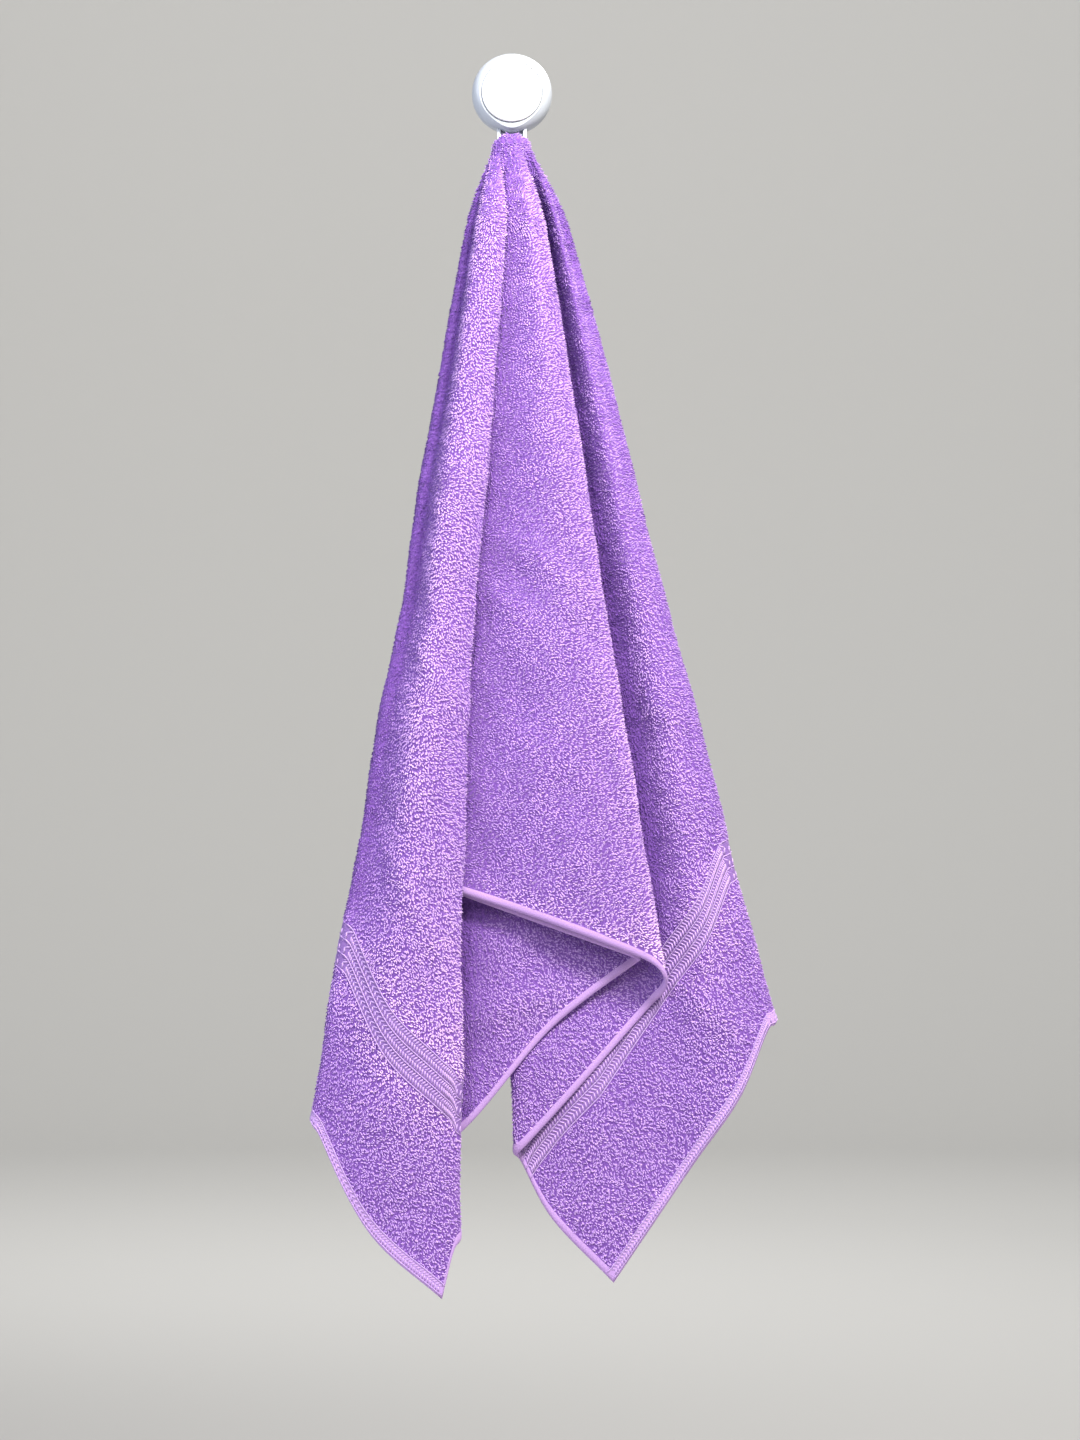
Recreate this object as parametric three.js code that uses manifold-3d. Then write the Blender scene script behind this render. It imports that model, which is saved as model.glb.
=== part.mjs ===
// A bath towel hanging on a small round wall hook.
// Millimetres, +Z up. The wall is the plane y = 0, and the front of the object looks along -Y.
// The origin is the middle of the hook body's flat back. "Out" is the distance from the wall: y = -out.
import * as THREE from 'three';
import { mergeVertices } from 'three/addons/utils/BufferGeometryUtils.js';
import Module from 'manifold-3d';

const wasm = await Module();
wasm.setup();

// Driving dimensions of the hook
const bodyRadius = 32;
const bodyDepth = 21;
const buttonRadius = 24;
const buttonProud = 2.6;
const seatGap = 0.3;
const strapWidth = 23.6;
const strapThick = 3.5;
const strapBackOut = 9;
const railWidth = 2.3;
const railProud = 3;
const railTopZ = -26.5;
const railEndZ = -57;
const fingerWidth = 12;
const fingerTopZ = -36.15;
const bendZ = -64;
const mouthWidth = 15.5;

// Driving dimensions of the towel, cut 650 x 1400: the hanging point is off its middle
const frontFlat = -615;
const backFlat = 35;
const leftFlat = -706;
const rightFlat = 694;
const clothThick = 2.6;
const clothThickAtHook = 1.1;
const fullThickAt = 520;
const clothTopZ = -35;
const capReach = 17;
const capHeight = 12.5;
const capHalfWidth = 14.5;
const capHalfDepth = 7;
const capOut = 30;
const neckReach = 76;
const neckZ = -108;
const shortest = 90;
const capRows = 4;
const rowCount = 20;
const rowCrowding = 1.3;
const columnPitch = 18;
const wideTurn = 4.5;
const foldSpread = 3;

// The lines of the drape, all round the towel's edge from the middle of its back long edge.
// Each line runs from the hanging point to one place on the edge, flat at (flatX, flatY).
// turn: degrees round the hook's finger at the cap, 270 at the back, 180 left, 90 front, 0 right.
// neckX, neckOut: where the line is at the neck. endX, endZ, endOut: where its end on the edge hangs.
// midOut: distance from the wall halfway, when it isn't the mean. bow: sideways bow halfway.
// fold: 1 where the cloth turns back at its right, -1 at its left, with the turn's radius at the
// neck, halfway and at the edge. endRise: how far a fold's hem rises before its tip and drops
// after it. corner: a corner of the towel.
const lines = [
  { name: 'back middle', flatX: 0, flatY: backFlat, turn: 270,
    neckX: 0, neckOut: 22, endX: 0, endZ: -66, endOut: 22 },
  { name: 'back left of finger', flatX: -20, flatY: backFlat, turn: 250,
    neckX: -24, neckOut: 23, endX: -12, endZ: -71, endOut: 22.5 },
  { name: 'back left of arm', flatX: -48, flatY: backFlat, turn: 236,
    neckX: -27, neckOut: 23, endX: -15, endZ: -92, endOut: 21 },
  { name: 'back left hem', flatX: -250, flatY: backFlat, turn: 226,
    neckX: -14, neckOut: 19, endX: -17, endZ: -280, endOut: 13 },
  { name: 'back left corner', flatX: leftFlat, flatY: backFlat, turn: 218,
    neckX: -24, neckOut: 19, endX: -72, endZ: -712, endOut: 5.5, corner: true },
  { name: 'left end, first turn', flatX: leftFlat, flatY: -130, turn: 208,
    neckX: -34, neckOut: 22.5, endX: -136, endZ: -726, endOut: 10.5,
    fold: -1, neckTurn: 1.6, midTurn: 2.4, endTurn: 2.5 },
  { name: 'left end, second turn', flatX: leftFlat, flatY: -280, turn: 196,
    neckX: -20, neckOut: 27, endX: -48, endZ: -756, endOut: 16.5,
    fold: 1, neckTurn: 1.7, midTurn: 2.6, endTurn: 2.8 },
  { name: 'left outer fold', flatX: leftFlat, flatY: -430, turn: 180,
    neckX: -35, neckOut: 36, endX: -160, endZ: -818, endOut: 27,
    fold: -1, neckTurn: 5.5, midTurn: 7, endTurn: 6 },
  { name: 'left ridge', flatX: leftFlat, flatY: -520, turn: 160,
    neckX: -25, neckOut: 57, midOut: 61, bow: -5, endX: -112, endZ: -907, endOut: 46 },
  { name: 'front left corner', flatX: leftFlat, flatY: frontFlat, turn: 148,
    neckX: -14, neckOut: 62.5, midOut: 59, bow: -17, endX: -55, endZ: -957, endOut: 50, corner: true },
  { name: 'left ridge, right side', flatX: -655, flatY: frontFlat, turn: 136,
    neckX: -5, neckOut: 59, midOut: 52.5, bow: -12, endX: -41, endZ: -912, endOut: 45.5,
    fold: 1, neckTurn: 3.2, midTurn: 3, endTurn: 4 },
  { name: 'behind left ridge', flatX: -580, flatY: frontFlat, turn: 126,
    neckX: -21, neckOut: 48, midOut: 41, endX: -98, endZ: -872, endOut: 34,
    fold: -1, neckTurn: 5.2, midTurn: 6.4, endTurn: 4 },
  { name: 'pocket, left', flatX: -492, flatY: frontFlat, turn: 117,
    neckX: -4, neckOut: 44, endX: -37, endZ: -824, endOut: 29.5, midOut: 35.5 },
  { name: 'pocket, middle', flatX: -400, flatY: frontFlat, turn: 110,
    neckX: 7, neckOut: 44.2, midOut: 37.2, endX: 32, endZ: -744, endOut: 30.5 },
  { name: 'pocket, right', flatX: -285, flatY: frontFlat, turn: 101,
    neckX: 17, neckOut: 46, endX: 102, endZ: -690, endOut: 36,
    fold: 1, neckTurn: 1.7, midTurn: 2.8, endTurn: 3, midOut: 40.4 },
  { name: 'panel, hidden left', flatX: -60, flatY: frontFlat, turn: 91,
    neckX: -13, neckOut: 49.2, endX: -64, endZ: -630, endOut: 39.5,
    fold: -1, neckTurn: 1.6, midTurn: 2.4, endTurn: 3, midOut: 43.4 },
  { name: 'panel, left', flatX: 70, flatY: frontFlat, turn: 82,
    neckX: 3, neckOut: 56, endX: -2, endZ: -649, endOut: 47, midOut: 52.5 },
  { name: 'panel, middle', flatX: 170, flatY: frontFlat, turn: 73,
    neckX: 14, neckOut: 60.5, endX: 66, endZ: -673, endOut: 52, midOut: 58 },
  { name: 'panel, right', flatX: 330, flatY: frontFlat, turn: 61,
    neckX: 25.5, neckOut: 50, endX: 122, endZ: -709, endOut: 39,
    fold: 1, neckTurn: 8, midTurn: 11, endTurn: 11, endRise: 17 },
  { name: 'inner sheet', flatX: 440, flatY: frontFlat, turn: 52,
    neckX: 14, neckOut: 40.2, midOut: 30.5, endX: 54, endZ: -791, endOut: 24 },
  { name: 'inner turn', flatX: 545, flatY: frontFlat, turn: 43,
    neckX: 3, neckOut: 38.4, midOut: 28, bow: -9, endX: 3, endZ: -846, endOut: 18,
    fold: -1, neckTurn: 1.6, midTurn: 2.8, endTurn: 3 },
  { name: 'right lobe, left', flatX: 620, flatY: frontFlat, turn: 34,
    neckX: 15, neckOut: 35.6, midOut: 24.3, endX: 32, endZ: -897, endOut: 15 },
  { name: 'front right corner', flatX: rightFlat, flatY: frontFlat, turn: 26,
    neckX: 22, neckOut: 35.4, midOut: 24.8, endX: 81, endZ: -948, endOut: 18, corner: true },
  { name: 'right lobe, middle', flatX: rightFlat, flatY: -480, turn: 18,
    neckX: 29, neckOut: 38, midOut: 28.3, endX: 144, endZ: -854, endOut: 23 },
  { name: 'right ridge', flatX: rightFlat, flatY: -395, turn: 9,
    neckX: 36, neckOut: 46.5, endX: 183, endZ: -796, endOut: 33, midOut: 42 },
  { name: 'right outer fold', flatX: rightFlat, flatY: -300, turn: 357,
    neckX: 44, neckOut: 36, endX: 209, endZ: -740, endOut: 25,
    fold: 1, neckTurn: 5.5, midTurn: 6.5, endTurn: 5, midOut: 32 },
  { name: 'right end, first turn', flatX: rightFlat, flatY: -190, turn: 346,
    neckX: 16, neckOut: 27.5, midOut: 19.4, endX: 44, endZ: -732, endOut: 14,
    fold: -1, neckTurn: 1.7, midTurn: 2.5, endTurn: 2.5 },
  { name: 'right end, second turn', flatX: rightFlat, flatY: -90, turn: 335,
    neckX: 38, neckOut: 23.2, endX: 188, endZ: -704, endOut: 9.5,
    fold: 1, neckTurn: 1.6, midTurn: 2.2, endTurn: 2.2 },
  { name: 'back right corner', flatX: rightFlat, flatY: backFlat, turn: 324,
    neckX: 25, neckOut: 19.5, endX: 86, endZ: -698, endOut: 5, corner: true },
  { name: 'back right hem', flatX: 250, flatY: backFlat, turn: 315,
    neckX: 14, neckOut: 19, endX: 18, endZ: -280, endOut: 13 },
  { name: 'back right of arm', flatX: 48, flatY: backFlat, turn: 304,
    neckX: 27, neckOut: 23, endX: 15, endZ: -92, endOut: 21 },
  { name: 'back right of finger', flatX: 20, flatY: backFlat, turn: 290,
    neckX: 24, neckOut: 23, endX: 12, endZ: -71, endOut: 22.5 },
];

const mixed = (a, b, share) => a + (b - a) * share;

// One line of the table as the values that are carried across the cloth. side runs from -1, where a
// fold's turn starts, through 0 at its tip, to 1 where it ends.
function control(line, side, inFront) {
  const capAngle = THREE.MathUtils.degToRad(line.turn - side * foldSpread);
  const value = {
    flatX: line.flatX,
    flatY: line.flatY,
    capX: capHalfWidth * Math.cos(capAngle),
    capOutward: capOut + capHalfDepth * Math.sin(capAngle),
    neckX: line.neckX,
    neckOut: line.neckOut,
    midX: (line.neckX + line.endX) / 2 + (line.bow ?? 0),
    midOut: line.midOut ?? (line.neckOut + line.endOut) / 2,
    endX: line.endX,
    endOut: line.endOut,
    endZ: line.endZ,
    corner: line.corner ?? false,
  };
  const turned = (side * Math.PI) / 2;
  for (const [level, radius] of [['neck', line.neckTurn], ['mid', line.midTurn], ['end', line.endTurn]]) {
    if (side !== 0) {
      value[level + 'X'] -= line.fold * radius * (1 - Math.cos(turned));
      value[level + 'Out'] -= inFront * radius * Math.sin(turned);
    }
  }
  return value;
}

// All the control lines round the towel, each fold opened into three or five lines along its turn
function controlLines() {
  const found = [];
  lines.forEach((line, i) => {
    if (!line.fold) {
      found.push(control(line, 0, 0));
      return;
    }
    const before = lines[(i + lines.length - 1) % lines.length];
    const after = lines[(i + 1) % lines.length];
    const inFront = Math.sign(before.neckOut + before.endOut - after.neckOut - after.endOut);
    const quarter = (Math.PI / 2) * line.endTurn;
    const alongX = line.flatY === frontFlat ? 1 : 0;
    const alongY = alongX ? 0 : Math.sign(line.flatX);
    const sides = line.midTurn > wideTurn ? [-1, -0.5, 0, 0.5, 1] : [-1, 0, 1];
    for (const side of sides) {
      const value = control(line, side, inFront);
      const next = side < 0 ? before : after;
      const apart = Math.hypot(next.flatX - line.flatX, next.flatY - line.flatY);
      const half = Math.hypot(quarter, line.endRise ?? 0);
      value.flatX += side * half * alongX;
      value.flatY += side * half * alongY;
      // The hem of an ordinary fold follows its neighbour's; endRise sets its own height instead
      const fall = Math.abs(side) * (half / apart) * (next.endZ - line.endZ);
      value.endZ += line.endRise ? -side * line.endRise : fall;
      found.push(value);
    }
  });
  return found;
}

const carried = ['capX', 'capOutward', 'neckX', 'neckOut', 'midX', 'midOut', 'endX', 'endOut', 'endZ'];

// A cubic from one value to another with the slopes it has at both, t going from 0 to 1
function hermite(from, slopeFrom, to, slopeTo, t) {
  const t2 = t * t;
  const t3 = t2 * t;
  const start = (2 * t3 - 3 * t2 + 1) * from + (t3 - 2 * t2 + t) * slopeFrom;
  return start + (3 * t2 - 2 * t3) * to + (t3 - t2) * slopeTo;
}

// The slope of one value at a control line from its neighbours. The edge itself turns sharply at a corner
function slopeAt(controls, knots, key, i, forward) {
  const count = controls.length;
  const gapBefore = knots[i] - knots[i - 1];
  const gapAfter = knots[i + 1] - knots[i];
  const here = controls[i % count][key];
  const before = (here - controls[(i - 1 + count) % count][key]) / gapBefore;
  const after = (controls[(i + 1) % count][key] - here) / gapAfter;
  if (controls[i % count].corner && key.startsWith('end')) {
    return forward ? after : before;
  }
  return (before * gapAfter + after * gapBefore) / (gapBefore + gapAfter);
}

// Columns of the cloth: smooth curves through the control lines, spaced by the square root of
// their distance apart so that a tight turn doesn't overshoot
function clothColumns(pitch, turnSteps) {
  const controls = controlLines();
  const count = controls.length;
  const apart = controls.map((a, i) => {
    const b = controls[(i + 1) % count];
    return Math.hypot(b.midX - a.midX, b.midOut - a.midOut, (b.endZ - a.endZ) / 4) + 1;
  });
  const knots = { [-1]: -Math.sqrt(apart[count - 1]), 0: 0 };
  for (let i = 0; i <= count; i += 1) {
    knots[i + 1] = knots[i] + Math.sqrt(apart[i % count]);
  }
  const columns = [];
  for (let i = 0; i < count; i += 1) {
    const from = controls[i];
    const to = controls[(i + 1) % count];
    const span = knots[i + 1] - knots[i];
    const steps = Math.max(turnSteps, Math.min(5, Math.round(apart[i] / pitch)));
    for (let k = 0; k < steps; k += 1) {
      const t = k / steps;
      const column = { flatX: mixed(from.flatX, to.flatX, t), flatY: mixed(from.flatY, to.flatY, t) };
      for (const key of carried) {
        const slopeFrom = slopeAt(controls, knots, key, i, true) * span;
        const slopeTo = slopeAt(controls, knots, key, i + 1, false) * span;
        column[key] = hermite(from[key], slopeFrom, to[key], slopeTo, t);
      }
      columns.push(column);
    }
  }
  return columns;
}

// A point on the smooth curve through the stops, one at each of the knots. The slope at a stop follows
// the longer stretch beside it, so that the curve doesn't bulge past a straight run.
function alongStops(knots, stops, reach) {
  let i = 0;
  while (i < knots.length - 2 && reach > knots[i + 1]) {
    i += 1;
  }
  const rise = (at, axis) => (stops[at + 1][axis] - stops[at][axis]) / (knots[at + 1] - knots[at]);
  const slope = (at, axis) => {
    if (at === 0 || at === knots.length - 1) {
      return rise(Math.max(0, at - 1), axis);
    }
    const gapBefore = knots[at] - knots[at - 1];
    const gapAfter = knots[at + 1] - knots[at];
    return (rise(at - 1, axis) * gapBefore + rise(at, axis) * gapAfter) / (gapBefore + gapAfter);
  };
  const span = knots[i + 1] - knots[i];
  const t = (reach - knots[i]) / span;
  return new THREE.Vector3(...[0, 1, 2].map((axis) => hermite(
    stops[i][axis], slope(i, axis) * span, stops[i + 1][axis], slope(i + 1, axis) * span, t,
  )));
}

// The point of a column at a distance along the cloth from the hanging point: over the cap, down
// to the neck, and on through its middle to its end. A short column goes straight to its end.
function hangingPoint(column, reach) {
  const whole = Math.hypot(column.flatX, column.flatY);
  if (reach <= capReach) {
    const share = (reach / capReach) * (Math.PI / 2);
    const out = mixed(capOut, column.capOutward, Math.sin(share));
    const z = clothTopZ - capHeight * (1 - Math.cos(share));
    return new THREE.Vector3(column.capX * Math.sin(share), -out, z);
  }
  const cap = [column.capX, -column.capOutward, clothTopZ - capHeight];
  const end = [column.endX, -column.endOut, column.endZ];
  const short = alongStops([capReach, whole], [cap, end], reach);
  if (whole < shortest) {
    return short;
  }
  const neck = [column.neckX, -column.neckOut, neckZ];
  const middle = [column.midX, -column.midOut, (neckZ + column.endZ) / 2];
  const knots = [capReach, neckReach, (neckReach + whole) / 2, whole];
  const long = alongStops(knots, [cap, neck, middle, end], reach);
  return short.lerp(long, THREE.MathUtils.smoothstep(whole, shortest, 2 * shortest));
}

// The towel as one closed sheet: a middle surface on a grid of columns and rows round the hanging
// point, thickened to both sides and closed round its edge
function towelGeometry() {
  const columns = clothColumns(columnPitch, 1);
  const wide = columns.length;
  const middle = [new THREE.Vector3(0, -capOut, clothTopZ)];
  const reaches = [0];
  for (let row = 1; row <= rowCount; row += 1) {
    for (const column of columns) {
      const whole = Math.hypot(column.flatX, column.flatY);
      const below = (row - capRows) / (rowCount - capRows);
      const reach = row <= capRows
        ? (capReach * row) / capRows
        : mixed(capReach, whole, below ** rowCrowding);
      middle.push(hangingPoint(column, reach));
      reaches.push(reach);
    }
  }
  const at = (row, col) => (row === 0 ? 0 : 1 + (row - 1) * wide + (col % wide));
  const faces = [];
  for (let col = 0; col < wide; col += 1) {
    faces.push([0, at(1, col + 1), at(1, col)]);
    for (let row = 1; row < rowCount; row += 1) {
      faces.push([at(row, col), at(row, col + 1), at(row + 1, col)]);
      faces.push([at(row, col + 1), at(row + 1, col + 1), at(row + 1, col)]);
    }
  }
  const sheet = new THREE.BufferGeometry().setFromPoints(middle);
  sheet.setIndex(faces.flat());
  sheet.computeVertexNormals();
  const normal = sheet.getAttribute('normal');
  const count = middle.length;
  const points = [];
  for (const side of [1, -1]) {
    middle.forEach((point, i) => {
      const grown = Math.min(1, reaches[i] / fullThickAt);
      const half = mixed(clothThickAtHook, clothThick, grown) / 2;
      const away = new THREE.Vector3().fromBufferAttribute(normal, i);
      points.push(point.clone().addScaledVector(away, side * half));
    });
  }
  const closed = faces.concat(faces.map(([a, b, c]) => [a + count, c + count, b + count]));
  for (let col = 0; col < wide; col += 1) {
    const a = at(rowCount, col);
    const b = at(rowCount, col + 1);
    closed.push([a, b, a + count], [b, b + count, a + count]);
  }
  return outward(points, closed);
}

// A closed geometry whose faces point out
function outward(points, faces) {
  let volume = 0;
  for (const [a, b, c] of faces) {
    volume += points[a].dot(new THREE.Vector3().crossVectors(points[b], points[c]));
  }
  const ordered = volume > 0 ? faces : faces.map(([a, b, c]) => [a, c, b]);
  const geometry = new THREE.BufferGeometry().setFromPoints(points);
  geometry.setIndex(ordered.flat());
  geometry.computeVertexNormals();
  return geometry;
}

// A turned piece about the hook's axis, from rows of [radius, out]
function turned(profile, segments) {
  const outline = profile.map(([radius, out]) => new THREE.Vector2(radius, out));
  return new THREE.LatheGeometry(outline, segments).rotateX(Math.PI);
}

// A side view drawn in (out, z), carried sideways between two x places
function fromSide(shape, fromX, toX, curveSegments) {
  const depth = toX - fromX;
  const geometry = new THREE.ExtrudeGeometry(shape, { depth, bevelEnabled: false, curveSegments });
  // The drawing's x becomes -y, its y becomes z, and its depth runs from toX back to fromX
  geometry.applyMatrix4(new THREE.Matrix4().set(0, 0, -1, toX, -1, 0, 0, 0, 0, 1, 0, 0, 0, 0, 0, 1));
  return geometry;
}

function toSolid(geometry) {
  const bare = geometry.clone();
  bare.deleteAttribute('normal');
  bare.deleteAttribute('uv');
  const merged = mergeVertices(bare, 1e-4);
  const index = Array.from(merged.getIndex().array);
  const triangles = [];
  for (let i = 0; i < index.length; i += 3) {
    const [a, b, c] = [index[i], index[i + 1], index[i + 2]];
    if (a !== b && b !== c && c !== a) {
      triangles.push(a, b, c);
    }
  }
  return new wasm.Manifold(new wasm.Mesh({
    numProp: 3,
    vertProperties: new Float32Array(merged.getAttribute('position').array),
    triVerts: new Uint32Array(triangles),
  }));
}

function toGeometry(solid) {
  const mesh = solid.getMesh();
  const geometry = new THREE.BufferGeometry();
  geometry.setAttribute('position', new THREE.BufferAttribute(new Float32Array(mesh.vertProperties), 3));
  geometry.setIndex(Array.from(mesh.triVerts));
  geometry.computeVertexNormals();
  return geometry;
}

// The hook's strap, bend and upturned finger, seen from the side
function armShape() {
  const inner = mouthWidth / 2;
  const outer = inner + strapThick;
  const mouthBack = strapBackOut + strapThick;
  const centre = mouthBack + inner;
  const fingerBack = mouthBack + mouthWidth;
  const tip = strapThick / 2;
  const startZ = -bodyRadius + 8;
  const shape = new THREE.Shape();
  shape.moveTo(strapBackOut, startZ);
  shape.lineTo(strapBackOut, bendZ);
  shape.absarc(centre, bendZ, outer, Math.PI, 2 * Math.PI, false);
  shape.lineTo(fingerBack + strapThick, fingerTopZ - tip);
  shape.absarc(fingerBack + tip, fingerTopZ - tip, tip, 0, Math.PI, false);
  shape.lineTo(fingerBack, bendZ);
  shape.absarc(centre, bendZ, inner, 2 * Math.PI, Math.PI, true);
  shape.lineTo(mouthBack, startZ);
  shape.closePath();
  return shape;
}

// A rail's side view: it leaves the body's lower wall and ends in a slope
function railShape() {
  const front = strapBackOut + strapThick + railProud;
  const shape = new THREE.Shape();
  shape.moveTo(strapBackOut, railTopZ);
  shape.lineTo(front - 1, railTopZ);
  shape.lineTo(front, railTopZ - 1);
  shape.lineTo(front, railEndZ + railProud);
  shape.lineTo(front - railProud, railEndZ);
  shape.lineTo(strapBackOut, railEndZ);
  shape.closePath();
  return shape;
}

function strapShape() {
  const shape = new THREE.Shape();
  shape.moveTo(strapBackOut, railTopZ);
  shape.lineTo(strapBackOut + strapThick, railTopZ);
  shape.lineTo(strapBackOut + strapThick, railEndZ);
  shape.lineTo(strapBackOut, railEndZ);
  shape.closePath();
  return shape;
}

// The arm's front view: as wide as the finger, with a round tip
function armOutline() {
  const half = fingerWidth / 2;
  const shape = new THREE.Shape();
  shape.moveTo(-half, bendZ - mouthWidth);
  shape.lineTo(half, bendZ - mouthWidth);
  shape.lineTo(half, fingerTopZ - half);
  shape.absarc(0, fingerTopZ - half, half, 0, Math.PI, false);
  shape.closePath();
  return shape;
}

// The moulded body with its arm: a round housing open at the front for the button
function hookBodyGeometry() {
  const wall = bodyRadius - 5.4;
  const recess = buttonRadius + seatGap;
  const floorOut = bodyDepth - 3;
  const housing = turned([
    [0, 0], [bodyRadius - 2, 0], [bodyRadius - 0.4, 1.2], [bodyRadius, 3], [bodyRadius, 9],
    [bodyRadius - 0.9, 13], [bodyRadius - 2.8, 17], [wall, bodyDepth - 0.9], [wall - 0.9, bodyDepth - 0.2],
    [recess + 0.6, bodyDepth], [recess, bodyDepth - 0.5], [recess, floorOut], [0, floorOut],
  ], 48);
  const half = strapWidth / 2;
  const outline = new THREE.ExtrudeGeometry(armOutline(), {
    depth: bodyRadius * 2,
    bevelEnabled: false,
    curveSegments: 12,
  });
  outline.rotateX(Math.PI / 2);
  const arm = toSolid(fromSide(armShape(), -half, half, 10)).intersect(toSolid(outline));
  const pieces = [
    fromSide(strapShape(), -half, half, 1),
    fromSide(railShape(), -half, -half + railWidth, 1),
    fromSide(railShape(), half - railWidth, half, 1),
  ];
  return toGeometry(pieces.reduce((solid, piece) => solid.add(toSolid(piece)), toSolid(housing).add(arm)));
}

// The round front button, its edge rolled over and its face a little crowned
function buttonGeometry() {
  const floorOut = bodyDepth - 3 + seatGap;
  const front = bodyDepth + buttonProud;
  return turned([
    [0, floorOut], [buttonRadius - 0.6, floorOut], [buttonRadius, floorOut + 0.6],
    [buttonRadius, front - 2.2], [buttonRadius - 0.7, front - 1], [buttonRadius - 2.4, front - 0.35],
    [buttonRadius * 0.5, front - 0.08], [0, front],
  ], 48);
}

function finish(name, colour, roughness) {
  const material = new THREE.MeshStandardMaterial({ color: colour, roughness, metalness: 0 });
  material.name = name;
  return material;
}

const part = new THREE.Group();
for (const [name, geometry, material] of [
  ['hook_body', hookBodyGeometry(), finish('white_plastic', 0xf2f4f5, 0.35)],
  ['hook_button', toGeometry(toSolid(buttonGeometry())), finish('white_plastic', 0xfafbfb, 0.3)],
  ['towel', towelGeometry(), finish('lilac_terry', 0xb07ad8, 0.95)],
]) {
  const mesh = new THREE.Mesh(geometry, material);
  mesh.name = name;
  part.add(mesh);
}

export default part;
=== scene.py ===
import math

import bpy
import numpy as np
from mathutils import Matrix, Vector


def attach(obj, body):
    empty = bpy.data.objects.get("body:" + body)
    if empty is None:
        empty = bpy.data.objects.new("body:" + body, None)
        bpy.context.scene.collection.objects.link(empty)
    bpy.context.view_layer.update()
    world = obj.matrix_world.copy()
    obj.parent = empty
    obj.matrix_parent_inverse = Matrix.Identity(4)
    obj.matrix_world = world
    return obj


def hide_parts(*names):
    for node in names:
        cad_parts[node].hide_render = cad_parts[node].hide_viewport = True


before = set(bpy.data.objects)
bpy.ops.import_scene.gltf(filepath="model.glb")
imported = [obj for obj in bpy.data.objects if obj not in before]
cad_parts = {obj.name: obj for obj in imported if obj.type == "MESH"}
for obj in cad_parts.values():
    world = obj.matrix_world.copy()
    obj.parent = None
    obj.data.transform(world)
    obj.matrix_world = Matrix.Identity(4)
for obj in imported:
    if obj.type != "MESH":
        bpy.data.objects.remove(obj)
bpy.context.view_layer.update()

# A bath towel hanging in folds on a small round wall hook. The wall is the plane y = 0, the front
# looks along -y, and "out" is the distance from the wall. The tables are in millimetres.
mm = 0.001
random = np.random.default_rng(11)


def linear(hexColour):
    # sRGB hex to linear: v / 12.92 up to 0.04045, else ((v + 0.055) / 1.055) to the power 2.4
    values = np.array([int(hexColour[i:i + 2], 16) / 255 for i in (1, 3, 5)])
    curved = np.where(values <= 0.04045, values / 12.92, ((values + 0.055) / 1.055) ** 2.4)
    return (*curved.tolist(), 1.0)


def mixed(a, b, share):
    # a + (b - a) times share
    return a + (b - a) * share


def smooth(low, high, value):
    # 3 t^2 - 2 t^3, with t the value's place from low to high, kept between 0 and 1
    t = np.clip((value - low) / (high - low), 0, 1)
    return t * t * (3 - 2 * t)


def unit(vectors):
    # Each vector divided by its length
    return vectors / (np.linalg.norm(vectors, axis=-1, keepdims=True) + 1e-12)


def addMesh(name, points, faces, material, flat=None, tone=None, rounded=True):
    # The mesh of points (n, 3) in metres and faces (m, 3) of point numbers, shaded smooth or faceted,
    # with the cloth's flat place as its UV map and a tone for each point where they are given
    mesh = bpy.data.meshes.new(name)
    mesh.vertices.add(len(points))
    mesh.vertices.foreach_set("co", np.ascontiguousarray(points, dtype=np.float32).ravel())
    corners = np.ascontiguousarray(faces, dtype=np.int32).ravel()
    mesh.loops.add(len(corners))
    mesh.loops.foreach_set("vertex_index", corners)
    mesh.polygons.add(len(faces))
    mesh.polygons.foreach_set("loop_start", np.arange(0, len(corners), 3, dtype=np.int32))
    mesh.polygons.foreach_set("use_smooth", np.full(len(faces), rounded))
    if flat is not None:
        layer = mesh.uv_layers.new(name="flat")
        layer.uv.foreach_set("vector", np.ascontiguousarray(flat[corners], dtype=np.float32).ravel())
    if tone is not None:
        attribute = mesh.attributes.new("tone", "FLOAT", "POINT")
        attribute.data.foreach_set("value", np.ascontiguousarray(tone, dtype=np.float32))
    mesh.update(calc_edges=True)
    mesh.materials.append(material)
    piece = bpy.data.objects.new(name, mesh)
    bpy.context.scene.collection.objects.link(piece)
    return piece


def ringFaces(rings, wide, first=0, turned=False):
    # Two triangles for each cell between rings of this many points, numbered ring after ring from
    # first: a, b, c and b, d, c with c and d below a and b, or the other way round where turned
    col = np.arange(wide)
    row = (first + wide * np.arange(rings - 1))[:, None]
    a, b = row + col, row + (col + 1) % wide
    c, d = a + wide, b + wide
    faces = np.stack([np.stack([a, b, c], axis=-1), np.stack([b, d, c], axis=-1)]).reshape(-1, 3)
    return faces[:, ::-1] if turned else faces


def fanFaces(centre, wide, first, turned=False):
    # Triangles from the centre's point to each side of the ring of this many points from first on
    col = np.arange(wide)
    faces = np.stack([0 * col + centre, first + col, first + (col + 1) % wide], axis=-1)
    return faces[:, ::-1] if turned else faces


def closedPiece(name, rings, ends, material):
    # A closed skin over rings of points (n, m, 3), in millimetres, with a fan to the point at each end
    count, wide = rings.shape[:2]
    total = count * wide
    faces = [ringFaces(count, wide), fanFaces(total, wide, 0, True), fanFaces(total + 1, wide, total - wide)]
    return addMesh(name, np.vstack([rings.reshape(-1, 3), ends]) * mm, np.vstack(faces), material)


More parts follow.
